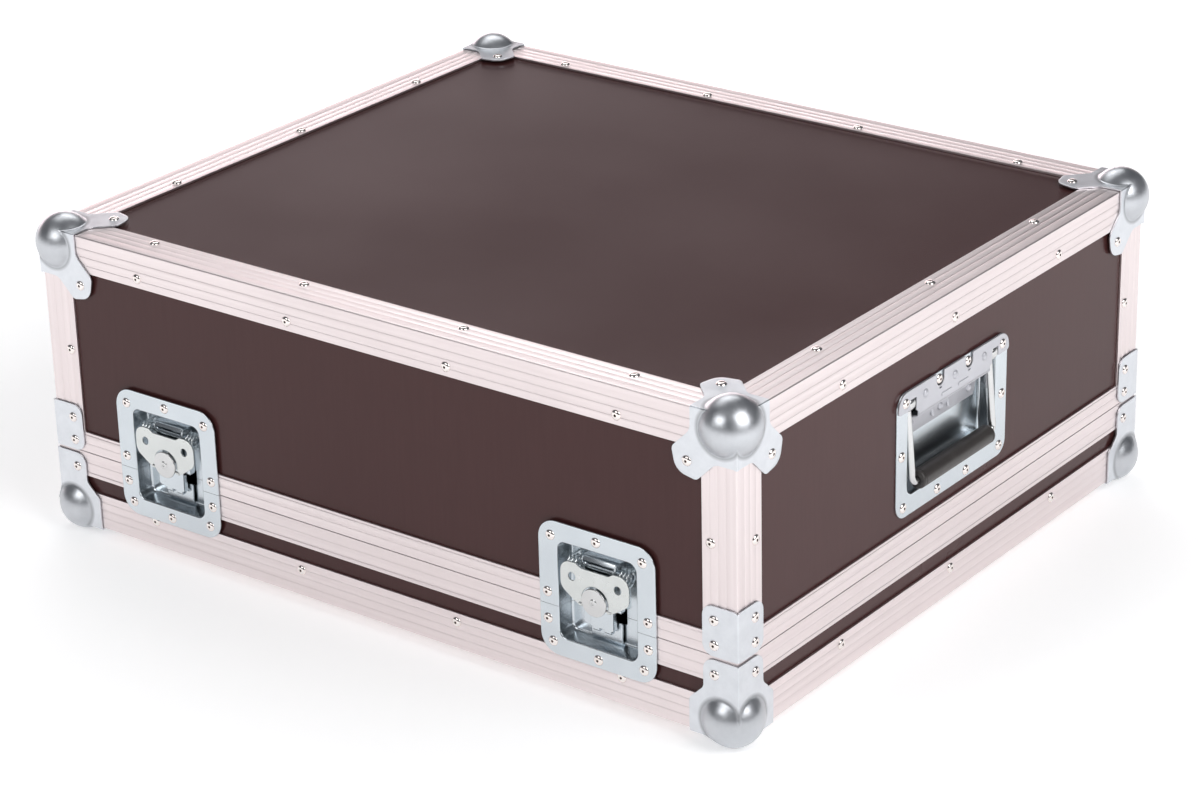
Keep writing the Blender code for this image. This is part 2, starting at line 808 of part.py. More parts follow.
def build_corners(steel):
    lobed = lobed_plate(ball_plate_reach)
    heads = bmesh.new()
    for frame in FACES.values():
        add_rivet(heads, ball_rivet, ball_rivet, flange_front, frame)
    upper = ball_corner((lobed, lobed, lobed), heads, bottom=False)
    foot = lobed_plate(base_plate_reach)
    heads = bmesh.new()
    for face in ("front", "side"):
        add_rivet(heads, brace_rivet_inset, base_height - base_leg_rivet_drop, flange_front,
                  FACES[face])
    add_rivet(heads, ball_rivet, ball_rivet, flange_front, FACES["level"])
    lower = ball_corner((tall_plate(), tall_plate(), foot), heads, bottom=True)
    for (right, back), tag in zip(CORNERS, CORNER_TAGS):
        for name, mesh, bottom in (("hood", upper, False), ("base", lower, True)):
            place = corner_matrix(right, back, bottom)
            hang(f"{name}_ball_corner_{tag}", placed(mesh, place), steel)


# Latches


def pressed_dish(bm, outer, opening, depth, draft):
    """A pressed dish from a flange outline and an opening box (left, right, low, high, radius)."""
    left, right, low, high, radius = opening

    def inner(grow, level):
        box = rounded_box(left - grow, right + grow, low - grow, high + grow,
                          max(radius + grow, sheet))
        return [(x, level, z) for x, z in box]
    flange = rounded_box(*outer)
    round_in = dish_lip_round
    rings = [inner(-draft - round_in, depth), inner(-round_in, -flange_front + round_in),
             inner(0, -flange_front),
             [(x, -flange_front, z) for x, z in flange], [(x, -fit, z) for x, z in flange],
             inner(sheet - round_in, -fit),
             inner(sheet - draft - round_in, depth + sheet)]
    add_loft(bm, rings)


def cut_level(bm, level, keep_above):
    """Keeps one side of a level plane and closes the cut."""
    geometry = bm.verts[:] + bm.edges[:] + bm.faces[:]
    bmesh.ops.bisect_plane(bm, geom=geometry, plane_co=(0, 0, level), plane_no=(0, 0, 1),
                           clear_inner=keep_above, clear_outer=not keep_above)
    bmesh.ops.contextual_create(bm, geom=[e for e in bm.edges if e.is_boundary])


def latch_dish(hood):
    bm = bmesh.new()
    half, opening = dish_width / 2, dish_opening_width / 2
    pressed_dish(bm, (-half, half, -dish_below, dish_above, dish_corner),
                 (-opening, opening, -dish_opening_below, dish_opening_above, dish_opening_corner),
                 dish_depth, dish_draft)
    cut_level(bm, parting_gap / 2 if hood else -parting_gap / 2, keep_above=hood)
    window = bmesh.new()
    wide = dish_window_width / 2
    add_box(window, (-wide, dish_depth - sheet, -dish_window_below),
            (wide, dish_depth + 2 * sheet, dish_window_above))
    tools = [("DIFFERENCE", window)]
    if hood:
        spots = ((dish_rivet_corner_x, dish_rivet_high),
                 (dish_rivet_side_x, dish_rivet_side_above), (0, dish_rivet_top))
    else:
        foot, lip = keeper()
        tools += [("UNION", foot), ("UNION", lip)]
        spots = ((dish_rivet_corner_x, -dish_rivet_low),
                 (dish_rivet_side_x, -dish_rivet_side_below), (0, -dish_rivet_bottom))
    heads = bmesh.new()
    for across, up in spots:
        for hand in (-1, 1) if across else (1,):
            add_rivet(heads, hand * across, up, flange_front, Matrix())
    return cleaned(combined(bm, tools + [("UNION", heads)]))


def keeper():
    """The catch on the base dish: a raised plate, and a ledge with a lip turned down."""
    floor, plate, lip = dish_depth + rivet_set, keeper_plate_depth, keeper_lip_depth
    low, high = -keeper_foot_bottom, -keeper_ledge_top
    bracket = [(floor, low), (plate, low), (plate, high), (plate + sheet, high),
               (plate + sheet, low + sheet), (floor, low + sheet)]
    foot = bmesh.new()
    add_prism(foot, bracket, -keeper_width / 2, keeper_width / 2, axis=0)
    ledge = [(plate + sheet / 2, high), (lip, high), (lip, -keeper_lip_bottom),
             (lip + sheet, -keeper_lip_bottom), (lip + sheet, high - sheet),
             (plate + sheet / 2, high - sheet)]
    tongue = bmesh.new()
    add_prism(tongue, ledge, -finger_far, finger_far, axis=0)
    return foot, tongue


def rotor_mesh():
    """Disc, hub and shaft turned in one, about the latch's Y axis, with the cross pin."""
    tail = housing_face_depth + housing_sheet + shaft_tail
    step = disc_thickness * 0.3
    profile = [(disc_radius - step, -disc_proud), (disc_radius, -disc_proud + step),
               (disc_radius, -disc_proud + disc_thickness),
               (hub_radius, -disc_proud + disc_thickness), (hub_radius, hub_back),
               (shaft_radius, hub_back), (shaft_radius, tail)]
    bm = bmesh.new()
    add_turned(bm, profile, 16)
    pin = bmesh.new()
    level = -wing_proud + wing_thickness / 2
    rings = [[(x, level + a, -wing_pin_drop + b) for a, b in circle(wing_pin_radius, 8)]
             for x in (-wing_pin_length / 2, wing_pin_length / 2)]
    add_loft(pin, rings)
    return cleaned(combined(bm, [("UNION", pin)]))


def wing_mesh():
    """The butterfly wing about its own pin: two lobes round a cut-out for the disc."""
    rise, foot = wing_pin_drop, wing_pin_drop - wing_foot_drop
    high = wing_top + rise
    right = [(wing_foot_x, foot, 1.5 * MM), (wing_waist_x, rise - wing_waist_drop, 8 * MM),
             (wing_side, rise + wing_heel, wing_lobe_round), (wing_side, high, wing_lobe_round),
             (wing_shoulder_x + 1.5 * wing_dip, high, 3 * MM),
             (wing_shoulder_x, high - wing_dip, 3 * MM)]
    left = [(-x, z, r) for x, z, r in reversed(right)]
    bm = bmesh.new()
    half = wing_thickness / 2
    add_prism(bm, rounded(right + left, 2), -half, half)
    tools = []
    hollow = bmesh.new()
    add_prism(hollow, circle(wing_cutout_radius, 16, 0, rise), -2 * half, 2 * half)
    tools.append(("DIFFERENCE", hollow))
    mouth = bmesh.new()
    reach = math.sqrt(wing_cutout_radius ** 2 - (rise - foot) ** 2)
    add_box(mouth, (-reach, -2 * half, foot - 2 * half), (reach, 2 * half, rise))
    tools.append(("DIFFERENCE", mouth))
    for hand in (-1, 1):
        hole = bmesh.new()
        add_prism(hole, circle(wing_hole_radius, 10, hand * wing_hole_x, rise + wing_hole_rise),
                  -2 * half, 2 * half)
        tools.append(("DIFFERENCE", hole))
    for hand in (-1, 1):
        near = wing_foot_x - eyelet_length
        ends = (hand * near, hand * wing_foot_x)
        eyelet = bmesh.new()
        add_loft(eyelet, [[(x, a, b) for a, b in circle(eyelet_radius, 8)] for x in ends])
        tools.append(("UNION", eyelet))
    bore = bmesh.new()
    ends = (-wing_foot_x * 1.5, wing_foot_x * 1.5)
    add_loft(bore, [[(x, a, b) for a, b in circle(wing_pin_radius + fit, 8)] for x in ends])
    tools.append(("DIFFERENCE", bore))
    return cleaned(combined(bm, tools))


def hook_mesh():
    """The draw hook: a slotted channel behind the rotor, and two fingers under the keeper."""
    front, back = hook_depth, hook_depth + hook_thickness
    half, low, foot = hook_width / 2, -hook_bottom, -hook_foot
    bm = bmesh.new()
    add_box(bm, (-half, front, low), (half, back, hook_top))
    tools = []
    for hand in (-1, 1):
        near, far = sorted((hand * (half - hook_thickness), hand * half))
        cheek = bmesh.new()
        add_box(cheek, (near, front + hook_thickness / 2, low),
                (far, hook_cheek_depth, hook_cheek_top))
        tools.append(("UNION", cheek))
    tip = hook_tip_depth
    curl = [(front, low + hook_thickness), (front, foot + 1 * MM), (front + 1 * MM, foot),
            (tip + hook_thickness - 1 * MM, foot), (tip + hook_thickness, foot + 1 * MM),
            (tip + hook_thickness, foot + hook_tip_rise), (tip, foot + hook_tip_rise),
            (tip, foot + hook_thickness), (back, foot + hook_thickness),
            (back, low + hook_thickness)]
    for hand in (-1, 1):
        finger = bmesh.new()
        add_prism(finger, curl, *sorted((hand * finger_near, hand * finger_far)), axis=0)
        tools.append(("UNION", finger))
    wide = shaft_radius + fit
    slot = bmesh.new()
    outline = rounded_box(-wide, wide, rotor_height - wide, rotor_height + hook_down + wide,
                          wide * 0.98, 3)
    add_prism(slot, outline, front - sheet, back + sheet)
    tools.append(("DIFFERENCE", slot))
    return cleaned(combined(bm, tools))


def housing_mesh():
    """The latch box on the dish floor: face, cheeks with ears, top, and the riveted spring pin."""
    half, face = housing_width / 2, housing_face_depth
    back = dish_depth - fit
    cheek = rounded([(back, housing_bottom, 0), (back, housing_top, 0),
                     (ear_front_depth, housing_top, 3 * MM), (ear_front_depth, ear_bottom, 3 * MM),
                     (face, ear_bottom, 0), (face, housing_bottom, 0)], 2)
    bm = bmesh.new()
    add_prism(bm, cheek, -half, -half + housing_sheet, axis=0)
    other = bmesh.new()
    add_prism(other, cheek, half - housing_sheet, half, axis=0)
    plate = bmesh.new()
    add_box(plate, (-half, face, housing_bottom), (half, face + housing_sheet, housing_face_top))
    top = bmesh.new()
    add_box(top, (-half, ear_front_depth + 3 * MM, housing_top - housing_sheet),
            (half, back, housing_top))
    hole = bmesh.new()
    add_prism(hole, circle(shaft_radius + fit, 14, 0, rotor_height), face - sheet,
              face + housing_sheet + sheet)
    pin = bmesh.new()
    reach = pin_length / 2
    ends = [(-reach, pin_head), (-reach + sheet, pin_head), (-reach + sheet, pin_radius),
            (reach - sheet, pin_radius), (reach - sheet, pin_head), (reach, pin_head)]
    add_loft(pin, [[(x, pin_depth + a, pin_height + b) for a, b in circle(radius, 8)]
                   for x, radius in ends])
    return cleaned(combined(bm, [("UNION", other), ("UNION", plate), ("UNION", top),
                                 ("DIFFERENCE", hole), ("UNION", pin)]))


def build_latches(zinc, bright, spring_steel):
    shapes = {"rotor": rotor_mesh(), "wing": wing_mesh(), "hook": hook_mesh(),
              "housing": housing_mesh(), "hood": latch_dish(True), "base": latch_dish(False)}
    path = spring_path(latch_coil_start, latch_coil_radius, latch_wire_radius, latch_coil_turns,
                       latch_coil_pitch, (latch_coil_depth, latch_coil_height), dish_depth,
                       latch_bar_drop)
    print("latch spring, least gap to itself mm",
          round(least_self_gap(path, latch_wire_radius) / MM, 3))
    wire = bmesh.new()
    add_tube(wire, path, latch_wire_radius, 6)
    shapes["spring"] = combined(wire, [])
    for tag in LATCHES:
        place = latch_matrix(tag)
        axis = place @ Matrix.Translation((0, 0, rotor_height))
        flap = Matrix.Translation((0, -wing_proud + wing_thickness / 2, -wing_pin_drop))
        hang(f"hood_latch_dish_{tag}", shapes["hood"], zinc, place)
        hang(f"base_latch_dish_{tag}", shapes["base"], zinc, place)
        hang(f"latch_{tag}_housing", shapes["housing"], zinc, place)
        hang(f"latch_{tag}_hook", shapes["hook"], zinc, place)
        hang(f"latch_{tag}_spring", shapes["spring"], spring_steel, place)
        turner = hang(f"latch_{tag}_rotor", shapes["rotor"], bright, axis)
        wing = hang(f"latch_{tag}_wing", shapes["wing"], bright)
        wing.parent = turner
        wing.matrix_local = flap


# Handles


def handle_matrix(side):
    """Centre of a handle dish, seated on the panel inside the edging."""
    return side_matrix(side, 0, z_under + handle_height) @ Matrix.Translation((0, panel_inset, 0))


def hinge_plate_mesh():
    """The plate over the handle dish: a flat top with arm notches, and a sloping tongue."""
    front, back = -flange_front - fit - sheet, -flange_front - fit
    half, top = handle_width / 2, handle_tall / 2
    near, far, ceiling = hinge_tongue_width / 2, hinge_notch_far, hinge_notch_top
    side, bend = hinge_plate_side, hinge_plate_bend
    right = [(near, bend, 0), (near, ceiling, 0), (far, ceiling, 0), (far, side, 0),
             (half, side, 3 * MM), (half, top, handle_corner)]
    outline = rounded(right + [(-x, z, r) for x, z, r in reversed(right)], 3)
    bm = bmesh.new()
    add_prism(bm, outline, front, back)
    deep, foot = handle_depth - fit, hinge_plate_foot
    tongue = bmesh.new()
    slope = math.hypot(deep - back, bend - foot)
    thick_z = sheet * slope / (deep - back)
    profile = [(front, bend + 2 * MM), (front, bend), (deep - sheet, foot),
               (deep, foot), (deep, foot + thick_z * 0.4), (back, bend + thick_z * 0.4),
               (back, bend + 2 * MM)]
    add_prism(tongue, profile, -near, near, axis=0)
    tools = [("UNION", tongue)]
    lug = hinge_lug_width / 2
    around = bail_radius + fit + sheet
    for hand in (-1, 1):
        block = bmesh.new()
        outline = rounded([(front + sheet / 2, bail_axis_height - around, 0),
                           (bail_axis_depth + around, bail_axis_height - around, 3 * MM),
                           (bail_axis_depth + around, bail_axis_height + around, 3 * MM),
                           (front + sheet / 2, bail_axis_height + around, 0)], 2)
        add_prism(block, outline, hand * hinge_lug_x - lug, hand * hinge_lug_x + lug, axis=0)
        tools.append(("UNION", block))
    bore = bmesh.new()
    reach = hinge_lug_x + 2 * lug
    add_loft(bore, [[(x, bail_axis_depth + a, bail_axis_height + b)
                     for a, b in circle(bail_radius + fit, 10)] for x in (-reach, reach)])
    tools.append(("DIFFERENCE", bore))
    spots = ((handle_rivet_x, handle_rivet_z), (handle_rivet_mid_x, handle_rivet_mid_z))
    tools.append(("UNION", handle_rivets(spots, -front)))
    return cleaned(combined(bm, tools))


def bail_path():
    """Hinge stub, arm, grip rod, arm and stub; depths and heights from the hinge axis."""
    half, out, drop = bail_half_width, bail_axis_depth + grip_proud, bail_axis_height + grip_drop
    corners = [(-bail_end_x, 0, 0), (-half, 0, 0), (-half, -out, -drop), (half, -out, -drop),
               (half, 0, 0), (bail_end_x, 0, 0)]
    return bent_path(corners, bail_bend, 3)


def handle_rivets(spots, seat):
    bm = bmesh.new()
    for across, up in spots:
        for hand in (-1, 1):
            add_rivet(bm, hand * across, up, seat, Matrix())
    return bm


def handle_dish_mesh():
    dish = bmesh.new()
    half, tall, opening = handle_width / 2, handle_tall / 2, handle_opening_width / 2
    pressed_dish(dish, (-half, half, -tall, tall, handle_corner),
                 (-opening, opening, -handle_opening_bottom, handle_opening_top,
                  handle_opening_corner), handle_depth, dish_draft)
    spots = ((handle_rivet_side_x, 0), (handle_rivet_x, -handle_rivet_z),
             (handle_rivet_mid_x, -handle_rivet_mid_z))
    return cleaned(combined(dish, [("UNION", handle_rivets(spots, flange_front))]))


def grip_mesh():
    """The rubber sleeve on the bail's lower rod, placed from the hinge axis."""
    bore, end = bail_radius + fit, grip_length / 2
    profile = [(bore, -end), (grip_radius - grip_round, -end), (grip_radius, -end + grip_round),
               (grip_radius, end - grip_round), (grip_radius - grip_round, end), (bore, end)]
    bm = bmesh.new()
    add_loft(bm, [[(x, a, b) for a, b in circle(radius, 14)] for radius, x in profile],
             Matrix.Translation((0, -bail_axis_depth - grip_proud, -bail_axis_height - grip_drop)),
             capped=False)
    return combined(bm, [])


def build_handles(zinc, bright, spring_steel, rubber):
    dish, plate, grip = handle_dish_mesh(), hinge_plate_mesh(), grip_mesh()
    bail = bmesh.new()
    add_tube(bail, bail_path(), bail_radius, 8)
    bail = combined(bail, [])
    path = spring_path(handle_coil_start, handle_coil_radius, handle_wire_radius,
                       handle_coil_turns, handle_coil_pitch,
                       (bail_axis_depth, bail_axis_height), handle_depth, handle_bar_drop)
    print("handle spring, least gap to itself mm",
          round(least_self_gap(path, handle_wire_radius) / MM, 3))
    wire = bmesh.new()
    add_tube(wire, path, handle_wire_radius, 6)
    wire = combined(wire, [])
    for side in HANDLES:
        place = handle_matrix(side)
        hinge = place @ Matrix.Translation((0, bail_axis_depth, bail_axis_height))
        hang(f"handle_{side}_dish", dish, zinc, place)
        hang(f"handle_{side}_hinge_plate", plate, zinc, place)
        hang(f"handle_{side}_spring", wire, spring_steel, place)
        rod = hang(f"handle_{side}_bail", bail, bright, hinge)
        hold = hang(f"handle_{side}_grip", grip, rubber)
        hold.parent = rod


def main():
    clear_scene()
    wood = material("phenolic ply", (0.075, 0.036, 0.034), 0, 0.42)
    aluminium = material("anodised aluminium", (0.80, 0.76, 0.76), 1, 0.34)
    zinc = material("zinc plated steel", (0.60, 0.65, 0.70), 1, 0.28)
    bright = material("nickel plated steel", (0.78, 0.77, 0.75), 1, 0.2)
    steel = material("pressed corner steel", (0.66, 0.68, 0.72), 1, 0.24)
    spring_steel = material("spring steel", (0.55, 0.58, 0.60), 1, 0.25)
    rubber = material("grip rubber", (0.022, 0.02, 0.02), 0, 0.55)
    foam = material("black foam", (0.03, 0.03, 0.032), 0, 0.95)
    build_panels(wood, foam)
    build_frames(aluminium)
    build_corners(steel)
    build_latches(zinc, bright, spring_steel)
    build_handles(zinc, bright, spring_steel, rubber)
    nodes = [o for o in bpy.data.objects if o.type == "MESH" and not o.hide_render]
    print("pieces", len(nodes), "rotor travel couples", round(hook_travel / math.pi / MM, 3))


main()
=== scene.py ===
import json
import math

import bmesh
import bpy
import numpy as np
from mathutils import Matrix, Vector
from mathutils.geometry import tessellate_polygon


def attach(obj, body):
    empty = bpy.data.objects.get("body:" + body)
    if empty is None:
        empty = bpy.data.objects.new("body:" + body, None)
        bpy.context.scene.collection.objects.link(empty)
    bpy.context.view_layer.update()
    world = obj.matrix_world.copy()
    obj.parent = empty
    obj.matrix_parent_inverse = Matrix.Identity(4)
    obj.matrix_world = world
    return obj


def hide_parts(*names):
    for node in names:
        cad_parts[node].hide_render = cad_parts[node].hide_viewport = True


# Mixer flight case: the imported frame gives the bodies, this script gives the looks.
# Shapes are worked out in millimetres and put into the meshes in metres.

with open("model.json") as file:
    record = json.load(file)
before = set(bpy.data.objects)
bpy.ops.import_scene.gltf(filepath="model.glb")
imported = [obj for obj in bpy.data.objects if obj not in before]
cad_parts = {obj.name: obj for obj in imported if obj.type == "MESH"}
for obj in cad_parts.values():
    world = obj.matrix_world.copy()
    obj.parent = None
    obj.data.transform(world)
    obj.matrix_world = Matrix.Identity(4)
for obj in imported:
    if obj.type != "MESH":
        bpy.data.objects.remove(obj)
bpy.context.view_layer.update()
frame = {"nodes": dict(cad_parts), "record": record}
nodes = frame["nodes"]
print("frame loaded,", len(nodes), "nodes")

caseSizes = {"width": 665, "depth": 568, "under": 9.5, "parting": 74, "top": 261.5, "panel": 7,
             "partingGap": 0.3, "fit": 0.3, "sheet": 1.2, "face": 1.5, "latchAt": 210.5}
sides = ("front", "right", "back", "left")
longSides = ("front", "back")
handleTags = ("right", "left")
corners = {"fl": (-1, -1), "bl": (-1, 1), "fr": (1, -1), "br": (1, 1)}
latchPlaces = {"fl": ("front", -1), "fr": ("front", 1), "br": ("back", -1), "bl": ("back", 1)}
# each half's outer level, and the way from there to the parting line
halves = {"hood": (caseSizes["top"], -1), "base": (caseSizes["under"], 1)}


# Frames

def shifted(x=0, y=0, z=0):
    place = np.eye(4)
    place[:3, 3] = (x, y, z)
    return place


def turnedAbout(axis, degrees):
    return np.array(Matrix.Rotation(math.radians(degrees), 4, axis))


swapXY, swapYZ = np.eye(4)[[1, 0, 2, 3]], np.eye(4)[[0, 2, 1, 3]]


def halfSize(side, along):
    # half the case's measure along a side, or across it
    return caseSizes["width" if (side in longSides) == along else "depth"] / 2


def sideFrame(side, across=0, up=0, inward=0):
    # a quarter turn from side to side; X runs right seen from outside, Y inward, Z up
    place = shifted(across, inward - halfSize(side, False), up)
    return turnedAbout("Z", 90 * sides.index(side)) @ place


def cornerFrame(tag, level=0, up=1):
    # inward distances from a corner's two upright faces, mirrored into place, and heights
    right, back = corners[tag]
    place = shifted(right * caseSizes["width"] / 2, back * caseSizes["depth"] / 2, level)
    return place @ np.diag((-right, -back, up, 1))


# Shells: (points in mm, groups of faces with equal corner counts, surface coordinates in mm)

def unit(v):
    return v / np.maximum(np.linalg.norm(v, axis=-1, keepdims=True), 1e-12)


def quarter(count):
    # the angles of a quarter circle
    return np.linspace(0, np.pi / 2, count)


def cornerArc(radius, count):
    # a quarter circle as its distances from the two lines it touches: radius * (1 - sin, 1 - cos)
    turn = quarter(count)
    return radius * np.stack([1 - np.sin(turn), 1 - np.cos(turn)], 1)


def grid(points, uv=None, closed=False):
    # a surface P(i, j) given as an array: each cell of the array is one four-sided face
    points = np.asarray(points, float)
    rows, columns = points.shape[:2]
    index = np.arange(rows * columns).reshape(rows, columns)
    if closed:
        index = np.hstack([index, index[:, :1]])
    faces = np.stack([index[:-1, :-1], index[:-1, 1:], index[1:, 1:], index[1:, :-1]], -1)
    uv = np.zeros((rows * columns, 2)) if uv is None else np.asarray(uv, float).reshape(-1, 2)
    return points.reshape(-1, 3), [faces.reshape(-1, 4)], uv


def capped(points, uv=None, flip=1):
    # a grid whose rows are closed rings, with one face over its first and one over its last
    count = np.shape(points)[1]
    points, groups, uv = grid(points, uv, True)
    ends = np.arange(count)
    last = ends + len(points) - count
    return points, groups + [ends[None, ::-flip], last[None, ::flip]], uv


def joined(*shells):
    starts = np.cumsum([0] + [len(s[0]) for s in shells])
    groups = [g + start for s, start in zip(shells, starts) for g in s[1]]
    return np.vstack([s[0] for s in shells]), groups, np.vstack([s[2] for s in shells])


def placed(shell, matrix):
    points, groups, uv = shell
    if np.linalg.det(matrix[:3, :3]) < 0:
        groups = [g[:, ::-1] for g in groups]
    return points @ matrix[:3, :3].T + matrix[:3, 3], groups, uv


def mirrored(points, signs=(1, -1)):
    # a line followed by its mirror image, which runs backwards
    points = np.array(points, float)
    return np.vstack([points, (points * signs)[::-1]])


def outline(points, steps=8):
    # a closed line of (across, up, radius) corners, each swapped for the arc that touches both sides
    c = np.array(points, float)
    here, radius = c[:, :2], c[:, 2:3]
    back, ahead = unit(np.roll(here, 1, 0) - here), unit(np.roll(here, -1, 0) - here)
    half = np.arccos(np.clip((back * ahead).sum(1, keepdims=True), -1, 1)) / 2
    centre = here + unit(back + ahead) * radius / np.sin(half)
    start = here + back * radius / np.tan(half) - centre
    end = here + ahead * radius / np.tan(half) - centre
    first = np.arctan2(start[:, 1], start[:, 0])[:, None]
    sweep = (np.arctan2(end[:, 1], end[:, 0])[:, None] - first + np.pi) % (2 * np.pi) - np.pi
    angle = first + sweep * np.linspace(0, 1, steps + 1)
    arc = centre[:, None] + radius[:, None] * np.stack([np.cos(angle), np.sin(angle)], -1)
    arc = arc.reshape(-1, 2)
    return arc[np.linalg.norm(arc - np.roll(arc, 1, 0), axis=1) > 1e-4]


def roundBox(left, right, low, high, radius, steps=8):
    radius = max(radius, 0.05)
    return outline([(left, low, radius), (right, low, radius),
                    (right, high, radius), (left, high, radius)], steps)


def ring(radius, sides, across=0, up=0):
    # a circle of (across, up) points: middle + radius * (cos, sin)
    angle = np.arange(sides) * 2 * np.pi / sides
    return np.stack([across + radius * np.cos(angle), up + radius * np.sin(angle)], 1)


def denser(loop, pitch):
    # a closed line resampled so that no step is longer than the pitch
    parts = []
    for a, b in zip(loop, np.roll(loop, -1, 0)):
        n = max(1, int(math.ceil(np.linalg.norm(b - a) / pitch)))
        parts.append(a + (b - a) * (np.arange(n) / n)[:, None])
    return np.vstack(parts)


def inset(loop, distance):
    # every point moves along the mitre of its two edges, so that the edges stay parallel
    ahead = unit(np.roll(loop, -1, 0) - loop)
    normal = np.stack([-ahead[:, 1], ahead[:, 0]], 1)
    before = np.roll(normal, 1, 0)
    mitre = (normal + before) / np.maximum(0.4, 1 + (normal * before).sum(1))[:, None]
    return loop + distance * mitre


def windings(loops):
    # first loop anticlockwise, the holes clockwise
    out = []
    for k, loop in enumerate(loops):
        x, z = loop.T
        area = (x * np.roll(z, -1) - np.roll(x, -1) * z).sum()
        out.append(loop if (area > 0) == (k == 0) else loop[::-1])
    return out


def plate(loops, near, far, edge=0.25, steps=3, hold=0.35, axis="y"):
    # a flat sheet from near to far: its rims are quarter circles of radius edge, swept round
    # each loop, and both faces are the loops moved in by the edge radius
    loops = windings([np.asarray(loop, float) for loop in loops])
    move, rise = cornerArc(edge, steps + 1).T
    moves = np.concatenate([[edge + hold], move, move[::-1], [edge + hold]])
    levels = np.concatenate([[near], near + rise, far - rise[::-1], [far]])
    shells, first, last, start = [], [], [], 0
    for loop in loops:
        rings = np.stack([inset(loop, m) for m in moves])
        y = np.broadcast_to(levels[:, None], rings.shape[:2])
        shells.append(grid(np.stack([rings[..., 0], y, rings[..., 1]], -1), closed=True))
        n = len(loop)
        first.append(start + np.arange(n))
        last.append(start + np.arange(n) + n * (len(moves) - 1))
        start += n * len(moves)
    flat = [inset(loop, moves[0]) for loop in loops]
    faces = np.array(tessellate_polygon([[Vector((x, z, 0)) for x, z in loop] for loop in flat]))
    p = np.vstack(flat)[faces]
    area = np.cross(p[:, 1] - p[:, 0], p[:, 2] - p[:, 0])
    faces = np.where((area < 0)[:, None], faces[:, ::-1], faces)[np.abs(area) > 1e-9]
    points, groups = joined(*shells)[:2]
    groups += [np.concatenate(first)[faces], np.concatenate(last)[faces][:, ::-1]]
    if axis == "x":
        points = points[:, [1, 0, 2]]
    return points, groups, points[:, [0, 2]].copy()


def turned(profile, sides=24):
    # (radius, along) points turned about the Y axis; a radius of nought closes to a point
    profile = np.array(profile, float)
    angle = np.arange(sides) * 2 * np.pi / sides
    radius = np.maximum(profile[:, :1], 1e-3)
    y = np.broadcast_to(profile[:, 1:2], (len(profile), sides))
    return capped(np.stack([radius * np.cos(angle), y, radius * np.sin(angle)], -1))


def turnedX(profile, sides, ends=True):
    # the same about the X axis, with or without its two end faces
    points, groups, uv = placed(turned(profile, sides), turnedAbout("Z", -90))
    return points, groups if ends else groups[:1], uv


def tube(path, radius, guide, sides=12):
    # a circle carried along a path; guide is a vector at each point that is never along the path
    path, guide = np.asarray(path, float), np.broadcast_to(guide, np.shape(path))
    along = unit(np.gradient(path, axis=0))
    across = unit(np.cross(along, guide))
    other = np.cross(across, along)
    angle = np.arange(sides) * 2 * np.pi / sides
    offset = across[:, None] * np.cos(angle)[:, None] + other[:, None] * np.sin(angle)[:, None]
    length = np.concatenate([[0], np.cumsum(np.linalg.norm(np.diff(path, axis=0), axis=1))])
    uv = np.stack(np.broadcast_arrays(angle[None] * radius, length[:, None]), -1)
    return capped(path[:, None] + radius * offset, uv, -1)


def bentPath(points, radius, steps=10):
    # straight runs joined by arcs: an arc is start*cos + sideways*sin about its centre
    points = np.array(points, float)
    parts = [points[:1]]
    for before, here, after in zip(points, points[1:], points[2:]):
        back, ahead = unit(before - here), unit(after - here)
        half = np.arccos(np.clip(back @ ahead, -1, 1)) / 2
        centre = here + unit(back + ahead) * radius / np.sin(half)
        start = here + back * radius / np.tan(half) - centre
        angle = np.linspace(0, np.pi - 2 * half, steps + 1)[:, None]
        parts.append(centre + start * np.cos(angle) - back * radius * np.sin(angle))
    return np.vstack(parts + [points[-1:]])


def strip(points, radius, thick):
    # a bent sheet seen from its edge: the rounded line moved half its thickness to either side
    line = bentPath(points, radius, 6)
    ahead = unit(np.diff(line, axis=0))
    ahead = np.vstack([ahead, ahead[-1:]])
    before = np.vstack([ahead[:1], ahead[:-1]])
    n1, n2 = (np.stack([-v[:, 1], v[:, 0]], 1) for v in (before, ahead))
    side = (n1 + n2) / (1 + (n1 * n2).sum(1))[:, None] * thick / 2
    return np.vstack([line + side, (line - side)[::-1]])


def bump(radius, rise, sides=16):
    # a pressed dome on a sheet: its height falls as (1 - (r / radius) squared) to the 0.7
    t = np.linspace(0, 1, 7)
    profile = np.stack([radius * t, -rise * (1 - t ** 2) ** 0.7], 1)
    return turned(np.vstack([profile, [(radius, 0.3), (0, 0.3)]]), sides)


# Pieces

def edited(mesh, change):
    bm = bmesh.new()
    bm.from_mesh(mesh)
    change(bm)
    bm.to_mesh(mesh)
    bm.free()
    return mesh


def tidied(mesh, merge=0.0):
    # doubles merged first, then the normals turned outward
    def change(bm):
        if merge:
            bmesh.ops.remove_doubles(bm, verts=bm.verts, dist=merge)
            bmesh.ops.dissolve_degenerate(bm, edges=bm.edges, dist=merge)
        bmesh.ops.recalc_face_normals(bm, faces=bm.faces)
    return edited(mesh, change)


def meshOf(name, shell, merge=0.0):
    points, groups, uv = shell
    mesh = bpy.data.meshes.new(name)
    loops = np.concatenate([g.ravel() for g in groups]).astype(np.int32)
    counts = np.concatenate([np.full(len(g), g.shape[1]) for g in groups])
    starts = np.concatenate([[0], np.cumsum(counts)[:-1]]).astype(np.int32)
    mesh.vertices.add(len(points))
    mesh.vertices.foreach_set("co", (points * 0.001).ravel())
    mesh.loops.add(len(loops))
    mesh.loops.foreach_set("vertex_index", loops)
    mesh.polygons.add(len(starts))
    mesh.polygons.foreach_set("loop_start", starts)
    mesh.update(calc_edges=True)
    mesh.validate()
    layer = mesh.uv_layers.new(name="runUv")
    if len(layer.data) == len(loops):
        layer.data.foreach_set("uv", (uv[loops] * 0.001).ravel())
    return tidied(mesh, merge)


